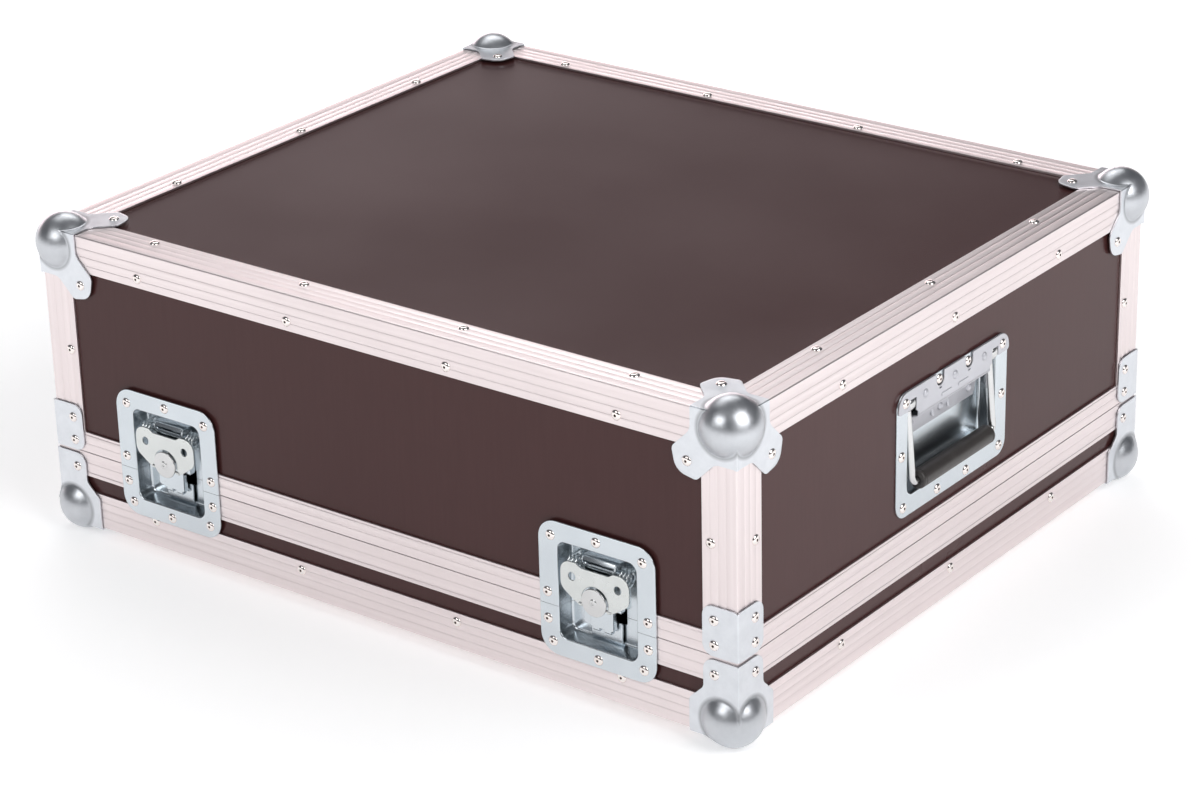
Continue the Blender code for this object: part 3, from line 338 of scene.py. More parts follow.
def objectOf(name, data):
    item = bpy.data.objects.new(name, data)
    bpy.context.scene.collection.objects.link(item)
    return item


def baked(name, mesh, steps):
    # the mesh that a stack of modifiers gives, each one a (kind, settings) pair
    piece = objectOf(name, mesh)
    helpers = []
    for kind, settings in steps:
        step = piece.modifiers.new(kind, kind)
        for key, value in settings.items():
            if key == "object":
                helpers.append(value)
            setattr(step, key, value)
    bpy.context.view_layer.update()
    result = bpy.data.meshes.new_from_object(
        piece.evaluated_get(bpy.context.evaluated_depsgraph_get()))
    for item in [piece, *helpers]:
        bpy.data.objects.remove(item)
    return result


def thickened(name, mesh):
    # a surface made into sheet metal with slightly rounded rims
    return baked(name, mesh, [("SOLIDIFY", {"thickness": caseSizes["sheet"] / 1000, "offset": -1.0}),
                              ("BEVEL", {"width": 0.00025, "segments": 2,
                                         "limit_method": "ANGLE", "angle_limit": 1.0})])


def copyPlaced(mesh, matrix):
    # a mirrored copy has its faces turned over, so that they still point outward
    copy = mesh.copy()
    m = Matrix(matrix.tolist())
    m.translation *= 0.001
    copy.transform(m)
    if m.determinant() < 0:
        copy.flip_normals()
    return copy


def dress(name, mesh, body, finish, slot, replaced=(), sharp=40):
    # a finished piece: its place is in its mesh, it rides on one body
    mesh.materials.clear()
    for each in finish if isinstance(finish, list) else [finish]:
        mesh.materials.append(each)
    mesh.shade_smooth()
    mesh.set_sharp_from_angle(angle=math.radians(sharp))
    piece = objectOf(name, mesh)
    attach(piece, body)
    if replaced:
        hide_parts(*replaced)
    return piece


def solid(name, shells, *values):
    return dress(name, meshOf(name, joined(*shells)), *values)


def fitted(name, rows):
    # the pieces of one latch or handle, as (ending, shells, place, body, finish, slot) rows
    for ending, shells, place, body, finish, slot in rows:
        solid(name + ending + "Piece", [placed(s, place) for s in shells], body, finish, slot,
              [name + ending])


# Shader groups

def newGroup(name, inputs, outputs):
    # inputs by name with their defaults, None for a vector; every output is a float
    group = bpy.data.node_groups.new(name, "ShaderNodeTree")
    for label, value in inputs.items():
        kind = "NodeSocketVector" if value is None else "NodeSocketFloat"
        socket = group.interface.new_socket(label, in_out="INPUT", socket_type=kind)
        if value is not None:
            socket.default_value = value
    for label in outputs:
        group.interface.new_socket(label, in_out="OUTPUT", socket_type="NodeSocketFloat")
    return group, group.nodes.new("NodeGroupInput").outputs, group.nodes.new("NodeGroupOutput")


def addNode(tree, kind, links=(), **settings):
    # one node: settings are its properties, links are (input, socket or value) pairs
    node = tree.nodes.new("ShaderNode" + kind)
    for key, value in settings.items():
        setattr(node, key, value)
    for key, value in links:
        if isinstance(value, bpy.types.NodeSocket):
            tree.links.new(value, node.inputs[key])
        else:
            node.inputs[key].default_value = value
    return node


def linkAll(tree, node, sockets):
    # sockets by the name of the input that each one feeds
    for label, socket in sockets.items():
        tree.links.new(socket, node.inputs[label])


def computed(tree, kind, operation, *values, output=0):
    return addNode(tree, kind, enumerate(values), operation=operation).outputs[output]


def noise(tree, vector, scale, detail, roughness=0.5):
    return addNode(tree, "TexNoise", [("Vector", vector), ("Scale", scale), ("Detail", detail),
                                      ("Roughness", roughness)]).outputs["Fac"]


def makeStreaks():
    # drawn lines along V: noise that is tight across the run and hundreds of times longer along it
    group, start, end = newGroup("drawnStreaks", {"Vector": None, "Tight": 1600.0, "Along": 9.0},
                                 ("Fine", "Broad"))
    stretch = addNode(group, "CombineXYZ", [("X", start["Tight"]), ("Y", start["Along"]), ("Z", 1.0)])
    spread = computed(group, "VectorMath", "MULTIPLY", start["Vector"], stretch.outputs[0])
    slow = computed(group, "VectorMath", "MULTIPLY", spread, (0.16, 0.5, 1.0))
    linkAll(group, end, {"Fine": noise(group, spread, 1.0, 3.0, 0.6),
                         "Broad": noise(group, slow, 1.0, 2.0)})
    return group


def makeMottle():
    # cloudy patches and small specks at two sizes, for plated and rubbed surfaces
    group, start, end = newGroup("platingMottle", {"Vector": None, "Patch": 60.0, "Speck": 900.0},
                                 ("Cloud", "Grit"))
    linkAll(group, end, {"Cloud": noise(group, start["Vector"], start["Patch"], 4.0, 0.6),
                         "Grit": noise(group, start["Vector"], start["Speck"], 2.0)})
    return group


def makeRange():
    # moves a 0 to 1 mask to a low and high value, with a contrast about its middle
    group, start, end = newGroup("maskRange", {"Mask": 0.5, "Low": 0.0, "High": 1.0,
                                               "Spread": 0.25}, ("Value",))
    low, high = (computed(group, "Math", kind, 0.5, start["Spread"]) for kind in ("SUBTRACT", "ADD"))
    mapped = addNode(group, "MapRange", [("Value", start["Mask"]), ("From Min", low),
                                         ("From Max", high), ("To Min", start["Low"]),
                                         ("To Max", start["High"])])
    linkAll(group, end, {"Value": mapped.outputs[0]})
    return group


streaks, mottle, maskRange = makeStreaks(), makeMottle(), makeRange()


def newFinish(name, metallic, roughness):
    finish = bpy.data.materials.new(name)
    finish.use_nodes = True
    shader = finish.node_tree.nodes["Principled BSDF"]
    shader.inputs["Metallic"].default_value = metallic
    shader.inputs["Roughness"].default_value = roughness
    return finish, finish.node_tree, shader


def mixColours(tree, mask, dark, light):
    return addNode(tree, "Mix", [(0, mask), (6, (*dark, 1)), (7, (*light, 1))],
                   data_type="RGBA").outputs[2]


def objectPoint(tree):
    return addNode(tree, "TexCoord").outputs["Object"]


def mottled(tree, patch, speck):
    # patches and specks per metre
    return addNode(tree, "Group", [("Vector", objectPoint(tree)), ("Patch", patch),
                                   ("Speck", speck)], node_tree=mottle).outputs


def ranged(tree, mask, low, high, spread=0.25):
    return addNode(tree, "Group", [("Mask", mask), ("Low", low), ("High", high),
                                   ("Spread", spread)], node_tree=maskRange).outputs[0]


def coat(tree, shader, colour, roughness, height, distance, strength):
    # colour, roughness and a bump that is distance metres high go into the shader
    bumped = addNode(tree, "Bump", [("Height", height), ("Distance", distance),
                                    ("Strength", strength)])
    linkAll(tree, shader, {"Base Color": colour, "Roughness": roughness,
                           "Normal": bumped.outputs["Normal"]})


def aluminiumFinish():
    finish, tree, shader = newFinish("ribbedAluminium", 1.0, 0.36)
    uv = addNode(tree, "UVMap", uv_map="runUv").outputs[0]
    lines = addNode(tree, "Group", [("Vector", uv), ("Tight", 1500.0), ("Along", 7.0)],
                    node_tree=streaks).outputs
    colour = mixColours(tree, ranged(tree, lines["Broad"], 0.0, 1.0, 0.2),
                        (0.78, 0.695, 0.695), (0.84, 0.755, 0.755))
    rough = ranged(tree, mottled(tree, 14.0, 420.0)["Cloud"], 0.33, 0.43)
    coat(tree, shader, colour, rough, lines["Fine"], 0.00002, 0.6)
    return finish


def cloudedFinish(name, dark, light, low, high, patch=55.0, grain=0.00001, metal=1.0,
                  speck=1100.0, strength=0.5):
    # cloudy tone between two colours, roughness that varies with the cloud, and a fine grit
    finish, tree, shader = newFinish(name, metal, (low + high) / 2)
    cloud = mottled(tree, patch, speck)
    colour = mixColours(tree, ranged(tree, cloud["Cloud"], 0, 1), dark, light)
    coat(tree, shader, colour, ranged(tree, cloud["Cloud"], low, high), cloud["Grit"], grain,
         strength)
    return finish


# painted shade on the plating by distance from a ball's middle: darker on the ball, darkest in the
# crease round it, up to where it is plain again
paintedBallShade = {"inset": 13, "reach": 30,
            "stops": ((0, 0.8), (23.2, 0.8), (24.0, 0.55), (26.2, 1), (30, 1))}


def cornerFinish():
    # as above, with painted shade: darker on the balls and in the crease round them
    finish = cloudedFinish("cornerSteel", (0.66, 0.68, 0.715), (0.76, 0.78, 0.815), 0.3, 0.42, 90.0)
    tree = finish.node_tree
    shader = tree.nodes["Principled BSDF"]
    plain = shader.inputs["Base Color"].links[0].from_socket
    c, t = caseSizes, paintedBallShade
    middle = (0, 0, (c["under"] + c["top"]) / 2000)
    centre = [(size / 2 - t["inset"]) / 1000
              for size in (c["width"], c["depth"], c["top"] - c["under"])]
    fromMiddle = computed(tree, "VectorMath", "SUBTRACT", objectPoint(tree), middle)
    folded = computed(tree, "VectorMath", "ABSOLUTE", fromMiddle)
    gap = computed(tree, "VectorMath", "DISTANCE", folded, centre, output="Value")
    ramp = addNode(tree, "ValToRGB", [("Fac", computed(tree, "Math", "MULTIPLY", gap,
                                                       1000 / t["reach"]))])
    stops = ramp.color_ramp.elements
    stops[1].position = 1
    for at, tone in t["stops"][1:-1]:
        stops.new(at / t["reach"])
    for stop, (at, tone) in zip(stops, t["stops"]):
        stop.color = (tone, tone, tone, 1)
    # the painted shade of the balls and their creases multiplies the plain colour
    shade = addNode(tree, "Mix", [(0, 1.0), (6, plain), (7, ramp.outputs["Color"])],
                    data_type="RGBA", blend_type="MULTIPLY")
    tree.links.new(shade.outputs[2], shader.inputs["Base Color"])
    return finish


def plyFinish():
    # phenolic film on ply: faint upright grain, small rubs and a slightly uneven gloss
    finish, tree, shader = newFinish("phenolicPly", 0.0, 0.4)
    shader.inputs["Specular IOR Level"].default_value = 0.26
    grain = computed(tree, "VectorMath", "MULTIPLY", objectPoint(tree), (420.0, 420.0, 26.0))
    cloud = mottled(tree, 5.0, 700.0)
    tone = computed(tree, "Math", "MULTIPLY", noise(tree, grain, 1.0, 3.0), cloud["Cloud"])
    colour = mixColours(tree, ranged(tree, tone, 0, 1, 0.45),
                        (0.057, 0.0195, 0.019), (0.072, 0.0255, 0.025))
    coat(tree, shader, colour, ranged(tree, cloud["Cloud"], 0.22, 0.28), cloud["Grit"], 0.00003, 0.5)
    return finish


def foamFinish():
    # open cells: pits from a cell pattern, painted darker as shade in them, over a slow unevenness
    finish, tree, shader = newFinish("openCellFoam", 0.0, 0.95)
    cells = addNode(tree, "TexVoronoi", [("Vector", objectPoint(tree)), ("Scale", 650.0)])
    pits = cells.outputs["Distance"]
    # painted shade: the cell pits are painted darker than the cell walls
    colour = mixColours(tree, pits, (0.012, 0.012, 0.013), (0.040, 0.040, 0.043))
    rough = ranged(tree, mottled(tree, 30.0, 1200.0)["Cloud"], 0.88, 1.0)
    coat(tree, shader, colour, rough, pits, 0.0006, 0.8)
    return finish


# dark and light tone, roughness from and to, patches per metre, height of the grit in metres,
# metallic, specks per metre and strength of the grit
cloudedValues = {
    "zincPlate": ((0.60, 0.645, 0.68), (0.67, 0.715, 0.75), 0.2, 0.27, 25.0, 0.000002),
    "paleZincPlate": ((0.53, 0.53, 0.57), (0.61, 0.61, 0.65), 0.3, 0.4, 30.0, 0.000003, 0.3),
    "nickelPlate": ((0.60, 0.60, 0.60), (0.68, 0.68, 0.68), 0.18, 0.26, 40.0, 0.000003),
    "wingPlate": ((0.64, 0.66, 0.65), (0.72, 0.74, 0.73), 0.22, 0.3, 45.0, 0.000003, 0.9),
    "rivetMetal": ((0.84, 0.77, 0.74), (0.92, 0.86, 0.83), 0.1, 0.16, 60.0, 0.000002),
    # the pulled stem's own dark colour, also laid on the hole's wall as painted shade
    "rivetStemAndHoleShade": ((0.13, 0.085, 0.075), (0.22, 0.15, 0.13), 0.35, 0.5),
    "springSteel": ((0.66, 0.70, 0.71), (0.78, 0.81, 0.82), 0.1, 0.16, 60.0, 0.000002),
    "gripRubber": ((0.036, 0.031, 0.030), (0.052, 0.046, 0.043), 0.3, 0.4, 90.0, 0.00004, 0.0,
                   1500.0, 0.6)}
zinc, paleZinc, nickel, wingPlate, rivetMetal, stemAndHoleShade, springSteel, rubber = (
    cloudedFinish(name, *values) for name, values in cloudedValues.items())
ply, aluminium, cornerSteel, foam = plyFinish(), aluminiumFinish(), cornerFinish(), foamFinish()
print("materials made")


# Rivets

rivetSizes = {"head": 4.1, "rise": 1.5, "hole": 1.05, "deep": 0.9, "sides": 14, "stem": 1.07}
rivetFrames = {"hood": [], "base": []}  # filled by every piece that is riveted


def rivetShell():
    # a flat dome turned about Y: rim, crown, then the open hole with the pulled stem in it
    r, h, hole, deep = (rivetSizes[k] for k in ("head", "rise", "hole", "deep"))
    return turned([(r * 0.94, 0.3), (r, 0), (r * 0.97, -h * 0.28), (r * 0.78, -h * 0.74),
                   (r * 0.5, -h * 0.98), (hole, -h), (hole * 0.92, deep - h),
                   (0, deep * 0.75 - h)], rivetSizes["sides"])


def rivetAt(half, place, across=0, up=0, seat=caseSizes["face"]):
    rivetFrames[half].append(place @ shifted(across, -seat, up))


def buildRivets():
    shell = rivetShell()
    for half, frames in rivetFrames.items():
        mesh = meshOf(half + "Rivets", joined(*[placed(shell, m) for m in frames]))
        piece = dress(half + "Rivets", mesh, half, [rivetMetal, stemAndHoleShade], "nickel_plated_steel")
        piece.data.polygons.foreach_set("material_index", darkFaces(piece.data, frames))
        piece.data.update()
    print("rivets", {half: len(frames) for half, frames in rivetFrames.items()})


def darkFaces(mesh, frames):
    # faces within the hole's radius of a rivet's axis and above its seat get the stem's dark finish:
    # the stem's own colour, and on the hole's wall painted shade
    centre = np.zeros(len(mesh.polygons) * 3)
    mesh.polygons.foreach_get("center", centre)
    centre = centre.reshape(-1, 3) * 1000
    owner = np.array([np.linalg.norm(centre - m[:3, 3], axis=1) for m in frames]).argmin(0)
    inverse = np.array([np.linalg.inv(m) for m in frames])[owner]
    local = np.einsum("nij,nj->ni", inverse[:, :3, :3], centre) + inverse[:, :3, 3]
    radius = np.hypot(local[:, 0], local[:, 2])
    return ((radius < rivetSizes["stem"]) & (local[:, 1] < 0)).astype(np.int32)


# Aluminium edging and rails

edgingSizes = {"leg": 30, "wall": 1.8, "nose": 1.0, "grooves": (9.4, 16.4, 23.4), "wide": 1.2,
               "deep": 0.19, "baseLeg": 26, "rivetIn": 22.4, "uprightRivet": (22.5, 161.5),
               "frontRivets": (-230.25, -76.75, 76.75, 230.25), "endRivets": (-151.7, 0, 151.7),
               "latchCut": 38, "edge": 0.25, "uprightGap": 29,
               "overRail": {"hood": 16.6, "base": 20.3}}
# a groove is (height above the rail's lower edge, then width and depth where they differ)
railSizes = {"hoodFace": 17.6, "baseFace": 21.3, "lip": 10, "lipWall": 1.5, "tongueIn": 4.4,
             "tongueWide": 2.2, "tongueDrop": 2.2, "tonguePlay": 0.4, "edge": 0.3,
             "grooves": {"hood": ((7.8,), (15.2, 0.8, 0.25)), "base": ((3.6, 0.8, 0.25), (12.1,))}}


def grooveLine(place, wide=edgingSizes["wide"], deep=edgingSizes["deep"]):
    # a shallow cosine dip across the face, as (inward, along the face) points
    t = np.linspace(-1, 1, 7)
    return np.stack([deep * (1 + np.cos(np.pi * t)) / 2, place + wide / 2 * t], 1)


def angleSection(leg, grooves):
    # both legs of the edging angle, with a rounded nose and grooves, as (inward, inward) points
    nose, wall, edge = (edgingSizes[k] for k in ("nose", "wall", "edge"))
    face = np.vstack([[(edge, leg), (0, leg - edge)]]
                     + [grooveLine(g)[::-1] for g in reversed(grooves)])
    return np.vstack([face, cornerArc(nose, 7)[:, ::-1], face[::-1, ::-1],
                      [(leg, wall), (wall, wall), (wall, leg)]])


def straight(start, end, section):
    # a section carried from one mitred end ring to the other; V is the distance along the run
    around = np.concatenate([[0], np.cumsum(np.linalg.norm(np.diff(section, axis=0), axis=1))])
    axis = unit((end - start).mean(0))
    uv = np.stack([np.stack([around, rim @ axis], 1) for rim in (start, end)])
    return capped(np.stack([start, end]), uv)


def railSection(half):
    # closing rail with its lip; the hood's has a tongue, the base's a channel for it
    s, c, wall = railSizes, caseSizes, edgingSizes["wall"]
    up = halves[half][1]
    meet = c["parting"] - up * c["partingGap"] / 2
    low, high = sorted((meet, meet - up * s[half + "Face"]))
    edge, near, drop = s["edge"], s["tongueIn"], s["tongueDrop"]
    far = near + s["tongueWide"]
    inner = wall + c["fit"] + c["panel"] + c["fit"]
    outer = inner + s["lipWall"]
    face = np.vstack([[(edge, low), (0, low + edge)],
                      *[grooveLine(low + at, *shape) for at, *shape in s["grooves"][half]],
                      [(0, high - edge), (edge, high)]])
    if half == "hood":
        back = [(wall, high), (wall, low + wall), (inner, low + wall), (inner, low + s["lip"]),
                (outer, low + s["lip"]), (outer, low), (far, low), (far, low - drop),
                (near, low - drop), (near, low)]
    else:
        near, far, drop = near - s["tonguePlay"], far + s["tonguePlay"], drop + s["tonguePlay"]
        flange = high - drop - wall
        back = [(near, high), (near, high - drop), (far, high - drop), (far, high), (outer, high),
                (outer, high - s["lip"]), (inner, high - s["lip"]), (inner, flange),
                (wall, flange), (wall, low)]
    return np.vstack([face, back])


def runAlong(side, section, start=None, stop=None):
    # (inward, height) section between two places across; None cuts that end to the corner mitre
    inward, height = section.T
    rings = []
    for place, hand in ((start, -1), (stop, 1)):
        across = hand * (halfSize(side, True) - inward) if place is None else inward * 0 + place
        rings.append(np.stack([across, inward, height], 1))
    return placed(straight(*rings, section), sideFrame(side))


def buildEdging():
    e, c = edgingSizes, caseSizes
    section, baseLeg = angleSection(e["leg"], e["grooves"]), angleSection(e["baseLeg"], ())
    cut, at = e["latchCut"], c["latchAt"]
    for half, (level, up) in halves.items():
        rail = railSection(half)
        shells = [runAlong(side, section * (1, up) + (0, level)) for side in sides]
        for side in sides:
            spans = (((None, -at - cut), (cut - at, at - cut), (at + cut, None))
                     if side in longSides else ((None, None),))
            shells += [runAlong(side, rail, *span) for span in spans]
        leg = section if half == "hood" else baseLeg
        ends = sorted((level + up * e["uprightGap"],
                       c["parting"] - up * (c["partingGap"] / 2 + e["overRail"][half])))
        rings = [np.column_stack([leg, np.full(len(leg), z)]) for z in ends]
        shells += [placed(straight(*rings, leg), cornerFrame(tag)) for tag in corners]
        replaced = [half + "_edging_frame", half + "_front_rail", half + "_back_rail"]
        solid(half + "Edging", shells, half, aluminium, "anodised_aluminium", replaced, 30)
        for side in sides:
            for across in e["frontRivets" if side in longSides else "endRivets"]:
                rivetAt(half, sideFrame(side), across, level + up * e["rivetIn"], 0)
                lying = sideFrame(side, across, level, e["rivetIn"]) @ turnedAbout("X", 90 * up)
                rivetAt(half, lying, seat=0)
    for tag in corners:
        for place in uprightFaces(tag):
            rivetAt("hood", place, *e["uprightRivet"], 0)
    print("edging done")


def uprightFaces(tag):
    # Y inward from each upright face of a corner, X the distance from the corner along it
    return [cornerFrame(tag), cornerFrame(tag) @ swapXY]


# Corner hardware

capSizes = {"ball": 23, "centre": 13, "foot": 0.5, "blend": 0.9, "reach": 38, "neck": 17,
            "lobeSide": 54, "lobeTip": 50.5, "rivet": (41, 41), "baseReach": 41.5,
            "baseHeight": 26, "legWide": 29, "legWaist": 38, "legTop": 62, "legRivet": (19.5, 50),
            "baseFoldBlend": 3.4, "baseRingBlend": 3.0, "slit": 0.8, "slitFrom": 25.5,
            "ribRise": 0.55, "ribWide": 1.3, "neckRound": 10, "lobeRound": 5.5, "tipRound": 12,
            "legRound": 9, "waistRound": 6, "pitch": 1.1, "knots": ((15, 0.72), (20.5, 0.9)),
            "rows": (9, 9, 15)}
braceSizes = {"wide": 29.5, "low": 74.3, "high": 114, "corner": 9, "fold": 1.3, "dip": 1.2,
              "dipWide": 2.4, "rivets": ((19.5, 83), (19.5, 102.6))}


def lobed(reach):
    # a plate with two rounded lobes, as corners from the case's own corner
    c = capSizes
    over = -caseSizes["face"]
    step = reach - c["neck"]
    neck, side, tip = c["neck"], c["lobeSide"], c["lobeTip"]
    return [(over, over, 0), (reach, over, 0), (reach, neck, c["neckRound"]),
            (side, side - step, c["lobeRound"]), (tip, tip, c["tipRound"]),
            (side - step, side, c["lobeRound"]), (neck, reach, c["neckRound"]), (over, reach, 0)]


def tall():
    # a wide foot that narrows to a leg up the case's edge, as corners
    c = capSizes
    over, reach, wide, waist = -caseSizes["face"], c["baseReach"], c["legWide"], c["waistRound"]
    return [(over, over, 0), (reach, over, 0), (reach, c["baseHeight"], waist),
            (wide, c["legWaist"], waist), (wide, c["legTop"], c["legRound"]),
            (over, c["legTop"], 0)]


def smoothLow(a, b, k):
    # the lower of two values, rounded off where they differ by less than k
    h = np.maximum(k - np.abs(a - b), 0) / k
    return np.minimum(a, b) - h * h * k / 4


def capFace(corner, axis, bottom, slits):
    # One face of a cap. Rays leave the ball's centre for points of the plate's outline and for
    # points between: along a ray the surface is the smooth union of the ball and of the case's
    # box grown by the sheet, so the ring and the folds come out as fillets. Along the upright
    # fold a rib is added: its rise times exp(-(distance from the fold / its width) squared).
    c = capSizes
    over, middle, blend = caseSizes["face"], c["centre"], c["blend"]
    loop = denser(outline(corner, 6), c["pitch"])
    folds = loop < -over + 1e-6
    for k in range(2):
        if "uv"[k] in slits:
            loop[folds[:, k] & (loop[:, 1 - k] > c["slitFrom"]), k] += c["slit"]
    ray = loop - middle
    reach = np.linalg.norm(ray, axis=1)
    knots = np.stack([0 * reach, *[np.minimum(most, part * reach) for most, part in c["knots"]],
                      reach])
    rows = np.concatenate([k + np.linspace(0, 1, n)[1:] for k, n in enumerate(c["rows"])])
    lower = np.minimum(rows.astype(int), 2)
    part = (rows - lower)[:, None]
    out = (knots[lower] * (1 - part) + knots[lower + 1] * part) / reach
    depth = middle + over
    d = np.dstack([out[..., None] * ray, np.full(out.shape, -float(depth))])
    d = unit(np.roll(d, axis + 1, axis=2))
    away = np.where(d < -1e-4, depth / np.maximum(-d, 1e-4), 1e4)
    upright = smoothLow(away[..., 0], away[..., 1], c["baseFoldBlend"] if bottom else blend)
    box = smoothLow(upright, away[..., 2], blend)
    ball = np.full_like(box, float(c["ball"]))
    inCorner = (d < 0).all(-1)  # here the box's own corner would stand out of the ball
    r = np.where(inCorner, ball, -smoothLow(-ball, -box, c["baseRingBlend"] if bottom else blend))
    if bottom:
        floor = (c["ball"] - c["foot"]) / np.maximum(-d[..., 2], 1e-4)
        r = np.minimum(r, np.where(d[..., 2] < -1e-4, floor, 1e4))
    across = (d[..., 0] - d[..., 1]) * r / math.sqrt(2)
    onFold = (d[..., 2] > 0) & (d[..., 0] < 0) & (d[..., 1] < 0)
    r = r + onFold * (r > c["ball"]) * c["ribRise"] * np.exp(-(across / c["ribWide"]) ** 2)
    pole = np.full(3, float(middle))
    pole[axis] -= c["ball"] - (c["foot"] if bottom and axis == 2 else 0)
    points, groups, uv = grid(middle + r[..., None] * d, closed=True)
    n = len(loop)
    fan = np.stack([np.full(n, len(points)), np.arange(n), (np.arange(n) + 1) % n], 1)
    return np.vstack([points, pole]), groups + [fan], np.vstack([uv, [(0, 0)]])


def capMesh(bottom):
    # axis 0 is the side face (u is Y, v is Z), 1 the front face (u is Z, v is X), 2 the level one
    level = lobed(capSizes["baseReach" if bottom else "reach"])
    side = tall() if bottom else level
    front = [(v, u, r) for u, v, r in reversed(side)] if bottom else level
    faces = [capFace(side, 0, bottom, "v"), capFace(front, 1, bottom, "u"),
             capFace(level, 2, bottom, "uv")]
    return thickened("cap", meshOf("cap", joined(*faces), 0.00002))


def braceMesh():
    # an angle plate: its plan line turns a rounded fold, its ends are quarter circles in height
    b = braceSizes
    over = -caseSizes["face"]
    far = b["wide"] - cornerArc(b["corner"], 12)[:, 0]
    legX = np.concatenate([far[::-1], np.linspace(far[0], over + b["fold"], 10)[1:-1]])
    leg = np.stack([legX, np.full(len(legX), over)], 1)
    line = np.vstack([leg, over + cornerArc(b["fold"], 9), leg[::-1, ::-1]])
    out = line.max(1)
    near = np.maximum(out - (b["wide"] - b["corner"]), 0)
    cut = b["corner"] - np.sqrt(np.maximum(b["corner"] ** 2 - near ** 2, 0))
    dip = b["dip"] * np.exp(-((out - over) / b["dipWide"]) ** 2)
    low, high = b["low"] + cut + dip * 0.3, b["high"] - cut - dip
    z = low + np.linspace(0, 1, 21)[:, None] * (high - low)
    points = np.dstack([np.broadcast_to(line, (21, *line.shape)), z])

    def turnOut(bm):
        if sum((f.normal.x + f.normal.y) * f.calc_area() for f in bm.faces) > 0:
            bmesh.ops.reverse_faces(bm, faces=bm.faces)

    return thickened("brace", edited(meshOf("brace", grid(points), 0.00002), turnOut))


def buildCorners():
    caps = {"hood": capMesh(False), "base": capMesh(True)}
    brace = braceMesh()
    for tag in corners:
        for half, (level, up) in halves.items():
            place = cornerFrame(tag, level, up)
            dress(half + "BallCorner_" + tag, copyPlaced(caps[half], place), half, cornerSteel,
                  "corner_steel", [half + "_ball_corner_" + tag], 45)
            upright = capSizes["legRivet" if half == "base" else "rivet"]
            rivetAt(half, place, *upright)
            rivetAt(half, place @ swapXY, *upright)
            rivetAt(half, place @ swapYZ, *capSizes["rivet"])
        dress("cornerBrace_" + tag, copyPlaced(brace, cornerFrame(tag)), "hood", cornerSteel,
              "anodised_aluminium", ["hood_edging_frame"], 45)
        for spot in braceSizes["rivets"]:
            for place in uprightFaces(tag):
                rivetAt("hood", place, *spot)
    print("corner hardware done")


# Pressed dishes

def pressedDish(outer, opening, depth, draft, lip=1.4, foot=2.2, rim=1.2, edge=0.4):
    # outlines carried down a profile: floor, rounded foot, drafted wall, rolled lip, flange, and
    # back down its hidden side; each row is the (outline, how far it is moved out, depth)
    face, fit, sheet = caseSizes["face"], caseSizes["fit"], caseSizes["sheet"]
    wall = -draft - lip
    rows = [(opening, wall - foot - face, depth)]
    rows += [(opening, wall - near, depth - far) for near, far in cornerArc(foot, 6)]
    rows += [(opening, far - lip, near - face) for near, far in cornerArc(lip, 6)]
    rows += [(opening, rim, -face), (outer, -rim, -face)]
    rows += [(outer, -near, far - face) for near, far in cornerArc(edge, 6)[::2]]
    rows += [(outer, 0, -fit), (opening, rim, -fit)]
    rows += [(opening, (sheet - lip) * math.cos(t), lip * (1 - math.sin(t)) * 0.3 - fit)
             for t in quarter(6)[::-2]]
    rows += [(opening, wall + sheet, depth - foot), (opening, wall + sheet - foot, depth + sheet)]
    rings = []
    for (left, right, low, high, radius), grow, y in rows:
        line = roundBox(left - grow, right + grow, low - grow, high + grow, radius + grow, 10)
        rings.append(np.stack([line[:, 0], np.full(len(line), y), line[:, 1]], 1))
    return capped(np.stack(rings))


def halved(mesh, level, keepAbove):
    # keeps one side of a level plane, in mm, and closes the cut
    def change(bm):
        bmesh.ops.bisect_plane(bm, geom=bm.verts[:] + bm.edges[:] + bm.faces[:],
                               plane_co=(0, 0, level * 0.001), plane_no=(0, 0, 1),
                               clear_inner=keepAbove, clear_outer=not keepAbove)
        bmesh.ops.holes_fill(bm, edges=[e for e in bm.edges if e.is_boundary])
    return tidied(edited(mesh, change))


latchDish = {"width": 104.4, "above": 68.5, "below": 40, "corner": 16, "openWidth": 73,
             "openAbove": 54.2, "openBelow": 26, "openCorner": 8, "depth": 12.5, "draft": 1.5,
             "windowWidth": 33, "windowAbove": 7, "windowBelow": 6,
             "hoodRivets": ((41, 56.3), (45, 9.8), (0, 61)),
             "baseRivets": ((41, -29.5), (45, -11.8), (0, -33.5))}


def dishHalf(hood):
    # the whole dish, its window cut through the floor by a Boolean, then cut at the parting line
    d = latchDish
    half, open_, window = d["width"] / 2, d["openWidth"] / 2, d["windowWidth"] / 2
    shell = pressedDish((-half, half, -d["below"], d["above"], d["corner"]),
                        (-open_, open_, -d["openBelow"], d["openAbove"], d["openCorner"]),
                        d["depth"], d["draft"])
    hole = plate([roundBox(-window, window, -d["windowBelow"], d["windowAbove"], 1.0)],
                 d["depth"] - 1, d["depth"] + 3, 0.05)
    cut = {"operation": "DIFFERENCE", "solver": "EXACT",
           "object": objectOf("window", meshOf("window", hole))}
    mesh = tidied(baked("dish", meshOf("dish", shell), [("BOOLEAN", cut)]), 0.000005)
    gap = caseSizes["partingGap"] / 2
    return halved(mesh, gap if hood else -gap, hood)


def latchFrame(tag):
    side, hand = latchPlaces[tag]
    return sideFrame(side, hand * caseSizes["latchAt"], caseSizes["parting"])


def buildLatchDishes():
    shapes = {"hood": dishHalf(True), "base": dishHalf(False)}
    for tag in latchPlaces:
        place = latchFrame(tag)
        for half, mesh in shapes.items():
            dress(half + "LatchDish_" + tag, copyPlaced(mesh, place), half, zinc,
                  "zinc_plated_steel", [half + "_latch_dish_" + tag])
            for across, up in latchDish[half + "Rivets"]:
                for hand in (-1, 1) if across else (1,):
                    rivetAt(half, place, hand * across, up)
    print("latch dishes done")


# Butterfly latch

